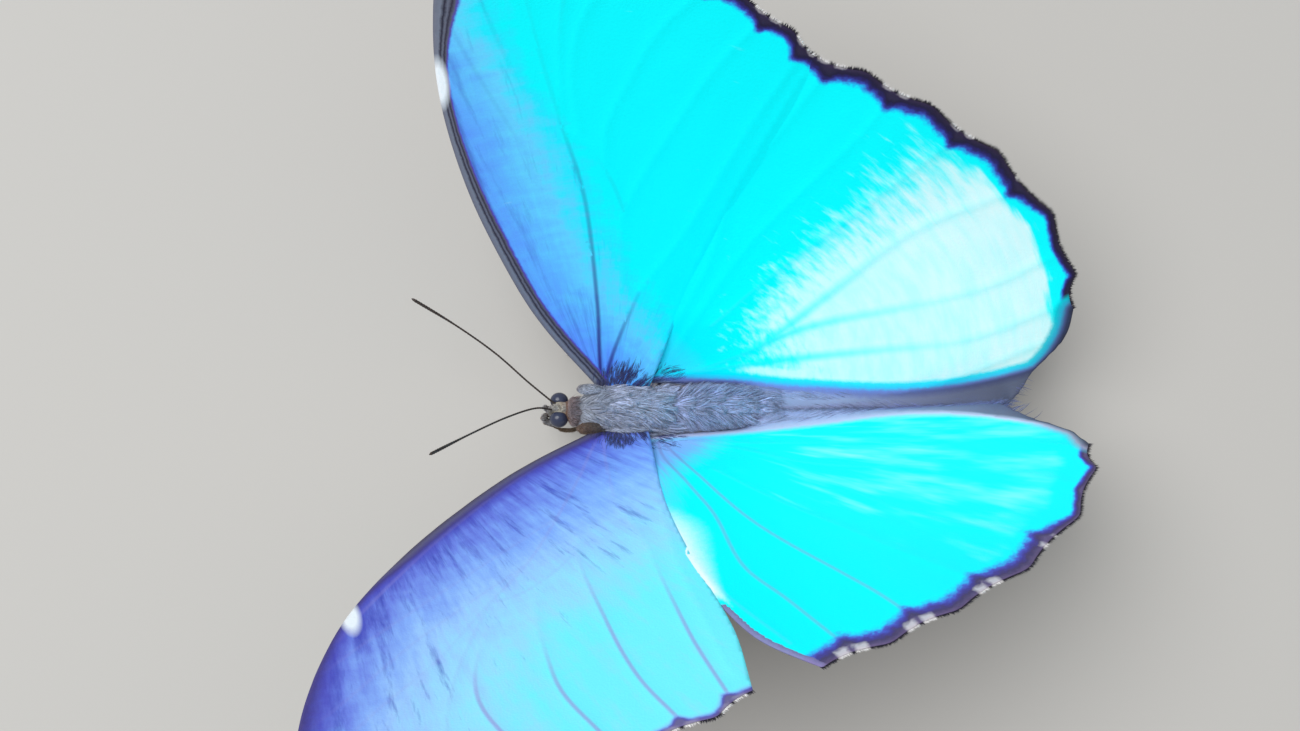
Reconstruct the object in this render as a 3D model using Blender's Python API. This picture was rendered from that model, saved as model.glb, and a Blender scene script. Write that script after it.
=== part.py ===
"""A life-size blue morpho butterfly, standing on four legs with its wings held up in a V.

The head points along -Y, the animal's left is +X and +Z is up. The animal is laid out in millimetres
round the middle of the wing-bearing thorax, and one empty then carries all of it to where its feet
stand on z = 0 under the middle of its bounding box. A wing is drawn flat, as distances out from its
hinge and forwards of it, and is then swept, dished, tilted and raised into its place.
"""

import math

import bmesh
import bpy
import numpy as np
from mathutils import Matrix, Vector

MM = 0.001
GAP = 0.3
FLOOR_Z = -10.5

WING_THICKNESS = 0.5
HINGE = (3.2, 0.0, 2.0)
FORE_HINGE_Y = -1.0
HIND_HINGE_Y = 4.0
HIND_DROP = 1.0
DIHEDRAL = {"left": 51.2, "right": 49.7}
INCIDENCE = {"left": 1.7, "right": 1.0}
DISH = {"left": 0.0013, "right": 0.0002}
FORE_SWEEP = {"left": -2.1, "right": -13.9}
HIND_SWEEP = {"left": -2.5, "right": -2.7}
SIDES = {"left": 1, "right": -1}

# Forewing outline: distances out from the hinge and forwards of it.
FORE_COSTA = [
    (0.0, 4.2),
    (8.0, 13.0),
    (16.0, 19.5),
    (28.5, 27.4),
    (42.3, 33.2),
    (56.0, 35.4),
    (67.0, 34.7),
]
FORE_TIP = [(72.6, 31.4), (69.8, 24.0), (67.0, 15.6)]
FORE_VEIN_ENDS = {
    "left": [*FORE_TIP, (65.6, 7.2), (64.0, -1.2), (61.4, -8.6), (57.6, -12.8)],
    "right": [*FORE_TIP, (64.6, 7.4), (62.3, -0.8), (59.6, -7.8), (56.4, -12.2)],
}
FORE_DORSUM = [(47.0, -11.8), (34.5, -8.7), (19.0, -5.4), (0.0, -3.9)]
FORE_SCALLOP = 0.45

# Hindwing outline, with its anal fold laid out flat.
HIND_COSTA = [
    (0.0, 1.8),
    (7.0, 4.8),
    (18.0, 4.8),
    (30.0, 0.8),
    (40.0, -4.4),
    (48.5, -9.0),
    (54.4, -15.5),
]
HIND_VEIN_ENDS = [
    (54.4, -15.5),
    (51.8, -23.7),
    (47.7, -32.5),
    (41.3, -42.4),
    (32.3, -51.5),
    (22.8, -56.8),
    (17.0, -57.7),
]
HIND_FOLD_EDGE = {
    "left": [(13.4, -57.2), (11.0, -55.4), (8.4, -53.0), (4.8, -49.8), (0.0, -46.0), (-4.8, -40.0)],
    "right": [(13.0, -57.8), (8.8, -56.8), (5.2, -54.8), (1.8, -52.4), (-2.0, -48.6), (-5.4, -42.0)],
}
HIND_FOLD_ROOT = [(-6.8, -31.0), (-7.0, -20.0), (-5.2, -11.5), (0.0, -3.0)]
HIND_SCALLOP = 0.85
FOLD_STRAIGHT_TO = -30.0
FOLD_CURVE = {"left": 0.018, "right": 0.01}
FOLD_BESIDE_ABDOMEN = {"left": 3.1, "right": 3.9}
FOLD_BEHIND_ABDOMEN = 0.5
FOLD_CLOSES = (20.0, 29.0)
FOLD_SCORES = (-5.0, -3.0, -1.5, 0.0, 5.0)
WING_GRID = 9.0

# Body stations: y, middle x, middle z, half width, half height.
THORAX = [
    (-8.3, 0.0, -0.6, 1.6, 1.8),
    (-7.3, 0.1, -0.4, 2.6, 2.9),
    (-5.0, 0.2, -0.1, 3.3, 3.9),
    (-1.8, 0.2, 0.0, 3.6, 4.3),
    (1.6, 0.2, 0.0, 3.5, 4.2),
    (4.4, 0.1, -0.1, 3.1, 3.6),
    (6.4, 0.0, -0.2, 2.2, 2.6),
]
ABDOMEN = [
    (6.8, -0.1, -0.2, 1.9, 2.3),
    (8.2, -0.2, -0.1, 2.45, 2.8),
    (11.0, -0.35, 0.0, 2.65, 3.1),
    (15.0, -0.4, -0.2, 2.6, 2.95),
    (19.0, -0.4, -1.0, 2.2, 2.35),
    (22.0, -0.35, -1.9, 1.65, 1.7),
    (23.7, -0.3, -2.4, 0.95, 1.0),
]
HEAD_CENTRE = (-0.3, -10.1, -0.4)
HEAD_RADII = (1.65, 1.7, 1.85)
HEAD_ROLL = 16.0
EYE_OFFSET = (1.5, -0.15, 0.1)
EYE_RADII = (1.2, 1.35, 1.4)
EYE_FLAT = 0.85
PALP_PATH = [(0.85, -0.5, -2.1), (0.95, -1.9, -2.2), (0.95, -2.6, -1.1), (0.85, -2.6, 0.5)]
PALP_RADII = [0.42, 0.5, 0.4, 0.26]
ANTENNA_PATH = {
    "left": [
        (-0.2, -11.3, 0.9),
        (-0.1, -13.5, 2.8),
        (1.7, -17.2, 6.2),
        (4.5, -21.4, 10.6),
        (8.3, -26.7, 16.0),
    ],
    "right": [
        (-1.1, -11.2, 0.8),
        (-4.1, -14.6, 2.0),
        (-8.2, -19.4, 3.7),
        (-12.0, -25.0, 5.6),
        (-15.4, -31.0, 8.0),
    ],
}
ANTENNA_RADII = [0.3, 0.28, 0.28, 0.3, 0.42]
COIL_CENTRE = (0.0, -1.9, -2.7)
COIL_RADII = (0.4, 1.45)
COIL_TURNS = 1.25
COIL_STEM_ANGLE = 110
COIL_STEPS = 16
PROBOSCIS_RADIUS = 0.29
TEGULA_CENTRE = (2.9, -5.6, 2.5)
TEGULA_RADII = (0.8, 2.0, 1.1)
TEGULA_LEAN = 38.0

# Legs of the left side, from the body to the claws.
LEG_PATHS = {
    "midleg": [
        (2.0, -1.2, -3.2),
        (4.2, -1.0, -3.1),
        (7.3, -1.4, -1.7),
        (8.5, -2.7, -5.6),
        (9.4, -4.3, -9.7),
        (10.1, -6.6, -10.28),
        (10.7, -9.2, -10.28),
    ],
    "hindleg": [
        (1.9, 2.8, -3.2),
        (4.0, 4.2, -3.1),
        (6.9, 7.0, -1.5),
        (7.9, 10.6, -5.8),
        (8.7, 14.1, -9.7),
        (9.3, 17.4, -10.28),
        (9.8, 21.0, -10.28),
    ],
    "foreleg": [
        (1.3, -6.3, -2.6),
        (1.9, -7.9, -4.2),
        (2.0, -9.6, -4.7),
        (1.6, -11.0, -4.3),
        (1.3, -12.2, -3.6),
    ],
}
LEG_RADII = {
    "midleg": [0.62, 0.55, 0.46, 0.36, 0.32, 0.32, 0.3],
    "hindleg": [0.62, 0.55, 0.46, 0.36, 0.32, 0.32, 0.3],
    "foreleg": [0.5, 0.42, 0.34, 0.34, 0.28],
}

COLOURS = {
    "wing_blue": ((0.005, 0.55, 0.93), 0.35, 0.0),
    "body_fur": ((0.16, 0.17, 0.19), 0.9, 0.0),
    "eye_dark": ((0.02, 0.03, 0.07), 0.12, 0.0),
    "leg_brown": ((0.09, 0.06, 0.04), 0.5, 0.0),
    "tegula_brown": ((0.13, 0.1, 0.09), 0.8, 0.0),
}


def clear_scene():
    """Removes what the scene starts with."""
    for thing in list(bpy.data.objects):
        bpy.data.objects.remove(thing, do_unlink=True)


def material(name):
    """The named material, made the first time it is asked for."""
    found = bpy.data.materials.get(name)
    if found:
        return found
    colour, roughness, metallic = COLOURS[name]
    made = bpy.data.materials.new(name)
    made.use_nodes = True
    shader = made.node_tree.nodes["Principled BSDF"]
    shader.inputs["Base Color"].default_value = (*colour, 1.0)
    shader.inputs["Roughness"].default_value = roughness
    shader.inputs["Metallic"].default_value = metallic
    return made


def new_object(name, bm, finish):
    """A closed mesh drawn in millimetres, as an object in metres with outward, smooth faces."""
    bmesh.ops.remove_doubles(bm, verts=bm.verts, dist=0.001)
    bmesh.ops.recalc_face_normals(bm, faces=bm.faces)
    if bm.calc_volume(signed=True) < 0:
        bmesh.ops.reverse_faces(bm, faces=bm.faces)
    bmesh.ops.scale(bm, vec=(MM, MM, MM), verts=bm.verts)
    mesh = bpy.data.meshes.new(name)
    bm.to_mesh(mesh)
    bm.free()
    mesh.shade_smooth()
    mesh.set_sharp_from_angle(angle=math.radians(50))
    mesh.materials.append(material(finish))
    thing = bpy.data.objects.new(name, mesh)
    bpy.context.scene.collection.objects.link(thing)
    return thing


def cutter_of(name, bm):
    """A guide that only cuts its neighbours."""
    cutter = new_object(name, bm, "body_fur")
    cutter.hide_render = True
    cutter.display_type = "WIRE"
    return cutter


def cut(thing, cutter):
    """Leaves the cutter's clearance in a piece."""
    modifier = thing.modifiers.new("clear_of_" + cutter.name, "BOOLEAN")
    modifier.operation = "DIFFERENCE"
    modifier.solver = "EXACT"
    modifier.object = cutter


def catmull_rom(points, steps):
    """A smooth line through named points, with the same number of steps in each span."""
    knots = [np.array(p, float) for p in points]
    knots = [2 * knots[0] - knots[1], *knots, 2 * knots[-1] - knots[-2]]
    line = []
    for a, b, c, d in zip(knots, knots[1:], knots[2:], knots[3:]):
        for k in range(steps):
            t = k / steps
            square = (2 * a - 5 * b + 4 * c - d) * t**2
            cube = (3 * b - a - 3 * c + d) * t**3
            line.append(0.5 * (2 * b + (c - a) * t + square + cube))
    line.append(knots[-2])
    return line


def scalloped(ends, depth, steps):
    """Shallow inward arcs from each vein's end to the next, walking clockwise round the wing."""
    line = []
    for start, end in zip(ends, ends[1:]):
        a, b = np.array(start), np.array(end)
        along = b - a
        inward = np.array((along[1], -along[0])) / np.linalg.norm(along)
        for k in range(steps):
            t = k / steps
            line.append(a + along * t + inward * depth * math.sin(math.pi * t) ** 0.8)
    line.append(np.array(ends[-1]))
    return line


def fore_outline(side):
    """The forewing's edge: the bowed costa, the scalloped outer margin and the dorsum."""
    ends = FORE_VEIN_ENDS[side]
    costa = catmull_rom([*FORE_COSTA, ends[0]], 3)
    margin = scalloped(ends, FORE_SCALLOP, 4)
    dorsum = catmull_rom([ends[-1], *FORE_DORSUM], 3)
    return costa + margin[1:-1] + dorsum


def hind_outline(side):
    """The hindwing's edge, with the anal fold spread flat beside it."""
    costa = catmull_rom(HIND_COSTA, 3)
    margin = scalloped(HIND_VEIN_ENDS, HIND_SCALLOP, 5)
    inner = catmull_rom([HIND_VEIN_ENDS[-1], *HIND_FOLD_EDGE[side], *HIND_FOLD_ROOT], 2)
    return costa + margin[1:-1] + inner


def fold_line(v, side):
    """How far out from the hinge the anal fold turns down, at a place along the wing."""
    return FOLD_CURVE[side] * max(0.0, FOLD_STRAIGHT_TO - v) ** 2


def smooth_step(low, high, value):
    """0 below low, 1 above high and a smooth rise between."""
    t = min(max((value - low) / (high - low), 0.0), 1.0)
    return t * t * (3 - 2 * t)


def raised(u, v, side, hinge_y, sweep, drop):
    """A flat wing's point swept about its hinge, dished, tilted and lifted to its side's angle."""
    turn = math.radians(-sweep)
    x = u * math.cos(turn) + v * math.sin(turn)
    y = u * math.sin(turn) - v * math.cos(turn) + hinge_y
    local = Vector((x, y, DISH[side] * y * y - drop))
    tilt = Matrix.Rotation(math.radians(INCIDENCE[side]), 3, "X")
    lift = Matrix.Rotation(math.radians(-DIHEDRAL[side]), 3, "Y")
    place = lift @ tilt @ local + Vector(HINGE)
    place.x *= SIDES[side]
    return place


def fore_place(u, v, side):
    """A forewing's point in its place."""
    return raised(u, v, side, FORE_HINGE_Y, FORE_SWEEP[side], 0.0)


def hind_place(u, v, side):
    """A hindwing's point. The anal fold bends down beside the abdomen and nears its twin behind it."""
    crease = fold_line(v, side)
    inward = crease - u
    place = raised(max(u, crease), v, side, HIND_HINGE_Y, HIND_SWEEP[side], HIND_DROP)
    if inward <= 0:
        return place
    closing = smooth_step(*FOLD_CLOSES, place.y)
    beside = FOLD_BESIDE_ABDOMEN[side]
    wall = beside + (FOLD_BEHIND_ABDOMEN - beside) * closing
    reach = SIDES[side] * wall - place.x
    slope = math.cos(math.radians(DIHEDRAL[side]))
    across = reach * inward / (inward + abs(reach) / slope)
    return place + Vector((across, 0.0, -math.sqrt(inward**2 - across**2)))


def wing(name, outline, place, side, extra_cuts):
    """A wing: its outline filled, scored by a grid so that it can bend, put in place and thickened."""
    bm = bmesh.new()
    corners = [bm.verts.new((u, v, 0.0)) for u, v in outline]
    bm.faces.new(corners)
    low = np.min(outline, axis=0)
    high = np.max(outline, axis=0)
    scores = [(0, at) for at in extra_cuts]
    for axis in (0, 1):
        scores += [(axis, at) for at in np.arange(low[axis] + WING_GRID, high[axis], WING_GRID)]
    for axis, at in scores:
        bmesh.ops.bisect_plane(
            bm,
            geom=bm.verts[:] + bm.edges[:] + bm.faces[:],
            dist=0.01,
            plane_co=(at, at, 0.0),
            plane_no=(1 - axis, axis, 0.0),
        )
    bmesh.ops.triangulate(bm, faces=bm.faces)
    for vert in bm.verts:
        vert.co = place(vert.co.x, vert.co.y, side)
    bmesh.ops.recalc_face_normals(bm, faces=bm.faces)
    bmesh.ops.solidify(bm, geom=bm.faces[:], thickness=WING_THICKNESS)
    return new_object(name, bm, "wing_blue")


def loft(rings):
    """A closed body through rings of points, with a fan at each end."""
    bm = bmesh.new()
    loops = [[bm.verts.new(p) for p in ring] for ring in rings]
    for first, second in zip(loops, loops[1:]):
        for k in range(len(first)):
            after = (k + 1) % len(first)
            bm.faces.new((first[k], first[after], second[after], second[k]))
    for loop in (loops[0], loops[-1]):
        middle = bm.verts.new(sum((v.co for v in loop), Vector()) / len(loop))
        for k in range(len(loop)):
            bm.faces.new((loop[k], loop[(k + 1) % len(loop)], middle))
    return bm


def body_loft(stations, grow=0.0, segments=16):
    """A body of round sections. A grown one is a cutter, larger all round."""
    rings = []
    line = catmull_rom(stations, 2)
    for at, (y, x, z, half_width, half_height) in enumerate(line):
        y += grow * ((at == len(line) - 1) - (at == 0))
        ring = []
        for k in range(segments):
            angle = 2 * math.pi * k / segments
            across = (half_width + grow) * math.cos(angle)
            up = (half_height + grow) * math.sin(angle)
            ring.append((x + across, y, z + up))
        rings.append(ring)
    return loft(rings)


def tube(path, radii, steps, segments, sole=None):
    """A limb along a smooth path. Where it would pass below its sole it is flattened on it."""
    line = [Vector(p) for p in catmull_rom(path, steps)]
    widths = [w[0] for w in catmull_rom([(r,) for r in radii], steps)]
    side = Vector((0.0, 0.0, 1.0)).cross(line[1] - line[0]).normalized()
    rings = []
    for k, point in enumerate(line):
        along = (line[min(k + 1, len(line) - 1)] - line[max(k - 1, 0)]).normalized()
        side = (side - along * side.dot(along)).normalized()
        up = along.cross(side)
        ring = []
        for j in range(segments):
            angle = 2 * math.pi * (j + 0.5) / segments
            place = point + (side * math.cos(angle) + up * math.sin(angle)) * widths[k]
            if sole is not None:
                place.z = max(place.z, sole)
            ring.append(place)
        rings.append(ring)
    return loft(rings)


def ellipsoid(centre, radii, grow=0.0, lean=0.0, segments=16, rings=10):
    """A ball stretched to three half sizes and leaned about its length."""
    bm = bmesh.new()
    bmesh.ops.create_uvsphere(bm, u_segments=segments, v_segments=rings, radius=1.0)
    bmesh.ops.scale(bm, vec=[r + grow for r in radii], verts=bm.verts)
    turn = Matrix.Rotation(math.radians(lean), 3, "Y")
    bmesh.ops.rotate(bm, cent=(0, 0, 0), matrix=turn, verts=bm.verts)
    bmesh.ops.translate(bm, vec=centre, verts=bm.verts)
    return bm


def rolled(offset):
    """A place on the head, from its offset with the head upright."""
    turn = Matrix.Rotation(math.radians(-HEAD_ROLL), 3, "Y")
    return Vector(HEAD_CENTRE) + turn @ Vector(offset)


def eye_ball(side, grow=0.0):
    """An eye: an ellipsoid cut flat where it sits in the head."""
    sign = SIDES[side]
    centre = rolled((sign * EYE_OFFSET[0], EYE_OFFSET[1], EYE_OFFSET[2]))
    bm = ellipsoid(centre, EYE_RADII, grow, -HEAD_ROLL)
    flat = rolled((sign * (EYE_FLAT - grow), 0.0, 0.0))
    cut_edge = bmesh.ops.bisect_plane(
        bm,
        geom=bm.verts[:] + bm.edges[:] + bm.faces[:],
        dist=0.0001,
        plane_co=flat,
        plane_no=(flat - Vector(HEAD_CENTRE)).normalized(),
        clear_inner=True,
    )
    rim = [item for item in cut_edge["geom_cut"] if isinstance(item, bmesh.types.BMEdge)]
    bmesh.ops.edgeloop_fill(bm, edges=rim)
    return bm


def mirrored(points, side):
    """Points drawn for the left side, on the side asked for."""
    return [(SIDES[side] * x, y, z) for x, y, z in points]


def proboscis_path():
    """The coiled tongue: a flat spiral that unwinds to a short stem under the head."""
    inner, outer = COIL_RADII
    x, y, z = COIL_CENTRE
    path = []
    for t in np.linspace(0.0, 1.0, COIL_STEPS):
        radius = inner + (outer - inner) * t
        angle = math.radians(COIL_STEM_ANGLE) - 2 * math.pi * COIL_TURNS * (1 - t)
        path.append(rolled((x, y + radius * math.cos(angle), z + radius * math.sin(angle))))
    return path


def body_pieces():
    """Thorax, abdomen, head and eyes, and the cutters that keep their neighbours clear."""
    thorax = new_object("thorax", body_loft(THORAX), "body_fur")
    thorax_room = cutter_of("thorax_room", body_loft(THORAX, GAP))
    abdomen = new_object("abdomen", body_loft(ABDOMEN), "body_fur")
    cut(abdomen, thorax_room)
    head = new_object("head", ellipsoid(HEAD_CENTRE, HEAD_RADII), "body_fur")
    cut(head, thorax_room)
    pieces = [thorax, abdomen, head]
    for side in SIDES:
        pieces.append(new_object("eye_" + side, eye_ball(side), "eye_dark"))
        eye_room = cutter_of("eye_room_" + side, eye_ball(side, GAP))
        cut(head, eye_room)
        pieces.append(eye_room)
    head_room = cutter_of("head_room", ellipsoid(HEAD_CENTRE, HEAD_RADII, GAP))
    return pieces + [thorax_room, head_room], thorax_room, head_room


def mouth_and_feelers(head_room):
    """Palps, coiled proboscis and antennae, all springing from the head."""
    coil = tube(proboscis_path(), [PROBOSCIS_RADIUS] * COIL_STEPS, 2, 6)
    proboscis = new_object("proboscis", coil, "leg_brown")
    cut(proboscis, head_room)
    pieces = [proboscis]
    for side in SIDES:
        brush = tube([rolled(p) for p in mirrored(PALP_PATH, side)], PALP_RADII, 3, 8)
        palp = new_object("palp_" + side, brush, "body_fur")
        feeler = tube(ANTENNA_PATH[side], ANTENNA_RADII, 4, 6)
        antenna = new_object("antenna_" + side, feeler, "leg_brown")
        for piece in (palp, antenna):
            cut(piece, head_room)
            pieces.append(piece)
    return pieces


def legs(thorax_room):
    """Two pairs of walking legs and the small folded forelegs."""
    pieces = []
    for kind, path in LEG_PATHS.items():
        sole = None if kind == "foreleg" else FLOOR_Z
        for side in SIDES:
            limb = tube(mirrored(path, side), LEG_RADII[kind], 3, 8, sole)
            leg = new_object(f"{kind}_{side}", limb, "leg_brown")
            cut(leg, thorax_room)
            pieces.append(leg)
    return pieces


def wings(thorax_room):
    """Four wings, and the scale-covered tegula over each forewing's hinge."""
    pieces = []
    for side, sign in SIDES.items():
        fore = wing("forewing_" + side, fore_outline(side), fore_place, side, ())
        hind = wing("hindwing_" + side, hind_outline(side), hind_place, side, FOLD_SCORES)
        centre = (sign * TEGULA_CENTRE[0], TEGULA_CENTRE[1], TEGULA_CENTRE[2])
        lean = -sign * TEGULA_LEAN
        shield = ellipsoid(centre, TEGULA_RADII, 0.0, lean)
        tegula = new_object("tegula_" + side, shield, "tegula_brown")
        shield_room = ellipsoid(centre, TEGULA_RADII, GAP, lean)
        tegula_room = cutter_of("tegula_room_" + side, shield_room)
        cut(fore, tegula_room)
        for piece in (fore, hind, tegula):
            cut(piece, thorax_room)
        pieces += [fore, hind, tegula, tegula_room]
    return pieces


def stand_at_origin(pieces):
    """Carries the whole animal on one empty, so that its feet stand on z = 0 under its box's middle."""
    bpy.context.view_layer.update()
    graph = bpy.context.evaluated_depsgraph_get()
    corners = []
    for piece in pieces:
        if piece.hide_render:
            continue
        evaluated = piece.evaluated_get(graph)
        corners += [piece.matrix_world @ Vector(corner) for corner in evaluated.bound_box]
    low = Vector(min(c[k] for c in corners) for k in range(3))
    high = Vector(max(c[k] for c in corners) for k in range(3))
    carrier = bpy.data.objects.new("whole_animal", None)
    bpy.context.scene.collection.objects.link(carrier)
    carrier.location = (-(low.x + high.x) / 2, -(low.y + high.y) / 2, -low.z)
    for piece in pieces:
        piece.parent = carrier
    bpy.context.view_layer.update()


def main():
    clear_scene()
    pieces, thorax_room, head_room = body_pieces()
    pieces += mouth_and_feelers(head_room)
    pieces += legs(thorax_room)
    pieces += wings(thorax_room)
    stand_at_origin(pieces)


main()
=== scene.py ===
"""The looks of a life-size blue morpho butterfly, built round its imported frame.

Sizes are in millimetres round the middle of the wing-bearing thorax, with the head towards -Y, the
animal's left towards +X and +Z up. Layout carries them to the frame, in metres.
"""

import logging
import math
from collections.abc import Callable
from dataclasses import dataclass, field
from enum import Enum
from functools import cached_property
from typing import Any

import bpy
import numpy as np
from mathutils import Matrix, Vector, noise
from mathutils.bvhtree import BVHTree
from mathutils.geometry import delaunay_2d_cdt


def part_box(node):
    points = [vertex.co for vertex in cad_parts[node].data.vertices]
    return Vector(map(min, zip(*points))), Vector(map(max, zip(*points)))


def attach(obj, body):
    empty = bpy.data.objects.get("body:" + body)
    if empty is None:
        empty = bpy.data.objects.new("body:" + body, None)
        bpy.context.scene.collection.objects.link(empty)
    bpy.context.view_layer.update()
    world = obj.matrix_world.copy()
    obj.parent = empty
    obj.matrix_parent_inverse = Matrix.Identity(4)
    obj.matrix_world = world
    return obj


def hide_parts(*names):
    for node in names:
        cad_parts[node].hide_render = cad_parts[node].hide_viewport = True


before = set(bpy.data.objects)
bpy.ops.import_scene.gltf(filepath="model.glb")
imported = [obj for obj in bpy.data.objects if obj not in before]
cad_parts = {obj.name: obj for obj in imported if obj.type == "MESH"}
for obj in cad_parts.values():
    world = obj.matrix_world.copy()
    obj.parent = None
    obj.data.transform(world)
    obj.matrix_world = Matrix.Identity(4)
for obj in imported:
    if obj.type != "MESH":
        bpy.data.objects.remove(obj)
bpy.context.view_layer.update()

MM = 0.001
LOG = logging.getLogger("morpho")
Array = np.ndarray
Pair = tuple[float, float]
Triple = tuple[float, float, float]
Thing = bpy.types.Object
Socket = bpy.types.NodeSocket
Tree = bpy.types.NodeTree
Inputs = dict[str | int, Any] | tuple
# A colour ramp's stops: place from 0 to 1, sRGB code and, where it lies over another, its cover.
Stops = list[tuple]


class Side(Enum):
    """A side of the animal, and its sign along X."""

    LEFT = 1
    RIGHT = -1

    @property
    def word(self) -> str:
        """The side's name, as the frame's nodes spell it."""
        return self.name.lower()


# ---------------------------------------------------------------- shared tools


def linear(code: str, cover: float = 1.0) -> tuple[float, float, float, float]:
    """Turns an sRGB hex colour to linear light.

    Args:
        code: six hex digits.
        cover: how much a ramp's stop covers what is below it.

    Returns:
        Red, green, blue and alpha.
    """
    parts = [int(code[k : k + 2], 16) / 255 for k in (0, 2, 4)]
    low = [c / 12.92 if c <= 0.04045 else ((c + 0.055) / 1.055) ** 2.4 for c in parts]
    return (low[0], low[1], low[2], cover)


def add_node(tree: Tree, kind: str, inputs: Inputs, out: int | str | None = 0, **settings: object) -> Any:
    """Adds a node with its settings, values and links.

    Args:
        tree: the material's node tree.
        kind: the node's Blender type, less its "ShaderNode" start.
        inputs: sockets to link or values to set, in the inputs' order or by an input's name or number.
        out: the output to give, or None for all of them.
        **settings: the node's own options. Stops under "stops" fill a colour ramp.

    Returns:
        The output's socket, or a list of all sockets.
    """
    node = tree.nodes.new("ShaderNode" + kind)
    for at, (place, *ink) in enumerate(settings.pop("stops", [])):
        stops = node.color_ramp.elements
        stop = stops[at] if at < 2 else stops.new(place)
        stop.position, stop.color = place, linear(*ink)
    for key, value in settings.items():
        setattr(node, key, value)
    for key, value in inputs.items() if isinstance(inputs, dict) else enumerate(inputs):
        if isinstance(value, Socket):
            tree.links.new(value, node.inputs[key])
        else:
            node.inputs[key].default_value = value
    return node.outputs[:] if out is None else node.outputs[out]


def catmull_rom(points: list, steps: int) -> Array:
    """A smooth line through named points.

    Args:
        points: the points, all of one dimension.
        steps: how many steps each span takes.

    Returns:
        The line's points, one to a row.
    """
    knots = np.array(points, float)
    knots = np.vstack([2 * knots[0] - knots[1], knots, 2 * knots[-1] - knots[-2]])
    t = np.arange(steps)[:, None] / steps
    line = []
    for a, b, c, d in zip(knots, knots[1:], knots[2:], knots[3:]):
        square = (2 * a - 5 * b + 4 * c - d) * t**2
        cube = (3 * b - a - 3 * c + d) * t**3
        line.append(0.5 * (2 * b + (c - a) * t + square + cube))
    return np.vstack([*line, knots[-2]])


def evenly(line: Array, spacing: float) -> Array:
    """The same line with its points about one spacing apart."""
    lengths = np.r_[0, np.cumsum(np.linalg.norm(np.diff(line, axis=0), axis=1))]
    places = np.linspace(0, lengths[-1], max(2, round(lengths[-1] / spacing) + 1))
    return np.stack([np.interp(places, lengths, line[:, k]) for k in range(line.shape[1])], 1)


def distance_to(points: Array, line: Array) -> tuple[Array, Array]:
    """Measures points against a flat polyline.

    Args:
        points: places in the plane.
        line: the polyline's corners.

    Returns:
        Each point's distance from the line, and how far along the line its nearest place is.
    """
    best = np.full(len(points), 1e9)
    along = np.zeros(len(points))
    run = 0.0
    for a, b in zip(line, line[1:]):
        span = b - a
        length = float(np.hypot(*span))
        if length < 1e-9:
            continue
        t = np.clip((points - a) @ span / length**2, 0, 1)
        far = np.hypot(*(points - a - t[:, None] * span).T)
        nearer = far < best
        best[nearer] = far[nearer]
        along[nearer] = run + t[nearer] * length
        run += length
    return best, along


def smooth_step(low: float, high: float, value: Array) -> Array:
    """0 below low, 1 above high and a smooth rise between."""
    t = np.clip((value - low) / (high - low), 0, 1)
    return t * t * (3 - 2 * t)


def unit(vectors: Array) -> Array:
    """The same directions, each of length 1."""
    return vectors / np.maximum(np.linalg.norm(vectors, axis=-1, keepdims=True), 1e-12)


def wander(points: Array, size: float, seed: float) -> Array:
    """A smooth random value for each point, between about -1 and 1, that changes over one size."""
    shift = Vector((seed * 17.3, seed * 5.1, seed * 9.7))
    flat = np.zeros((len(points), 3))
    flat[:, : points.shape[1]] = points / size
    return np.array([noise.noise(Vector(p) + shift) for p in flat])


@dataclass(frozen=True)
class Layout:
    """Where the animal's own millimetres lie in the frame."""

    thorax_middle: Triple = (0.2, -0.95, 0.0125)
    floor: float = -10.495

    @property
    def origin(self) -> Array:
        """The place of the working origin, in the frame's metres."""
        low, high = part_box("thorax")
        return np.array((low + high) / 2) - np.array(self.thorax_middle) * MM

    def place(self, points: Array) -> Array:
        """Working millimetres as places in the frame."""
        return self.origin + np.asarray(points, float) * MM

    def local(self, points: Array) -> Array:
        """Places in the frame as working millimetres."""
        return (np.asarray(points, float) - self.origin) / MM


LAYOUT = Layout()


@dataclass
class Solid:
    """A mesh in working millimetres with what its materials read."""

    points: Array
    triangles: Array
    values: dict[str, Array] = field(default_factory=dict)
    unwrap: Array | None = None
    finishes: Array | None = None

    def build(self, name: str, materials: list[bpy.types.Material]) -> Thing:
        """Makes the piece.

        Args:
            name: the piece's name.
            materials: its materials, in the order that finishes counts them.

        Returns:
            The object, at the origin, with its place in its mesh.
        """
        mesh = bpy.data.meshes.new(name)
        count = len(self.triangles)
        mesh.vertices.add(len(self.points))
        mesh.vertices.foreach_set("co", LAYOUT.place(self.points).astype(np.float32).ravel())
        mesh.loops.add(3 * count)
        mesh.loops.foreach_set("vertex_index", self.triangles.astype(np.int32).ravel())
        mesh.polygons.add(count)
        mesh.polygons.foreach_set("loop_start", np.arange(0, 3 * count, 3, dtype=np.int32))
        mesh.polygons.foreach_set("use_smooth", np.ones(count, bool))
        for finish in materials:
            mesh.materials.append(finish)
        if self.finishes is not None:
            mesh.polygons.foreach_set("material_index", self.finishes.astype(np.int32))
        write_values(mesh, self.values)
        if self.unwrap is not None:
            layer = mesh.uv_layers.new(name="OFBake")
            corners = self.unwrap[self.triangles.ravel()]
            layer.data.foreach_set("uv", corners.astype(np.float32).ravel())
        mesh.update(calc_edges=True)
        mesh.validate()
        thing = bpy.data.objects.new(name, mesh)
        bpy.context.scene.collection.objects.link(thing)
        return thing


def write_values(mesh: bpy.types.Mesh, values: dict[str, Array]) -> None:
    """Stores a number or a vector for each point of a mesh, by name."""
    for name, data in values.items():
        kind, key = ("FLOAT", "value") if data.ndim == 1 else ("FLOAT_VECTOR", "vector")
        layer = mesh.attributes.new(name, kind, "POINT")
        layer.data.foreach_set(key, data.astype(np.float32).ravel())


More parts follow.
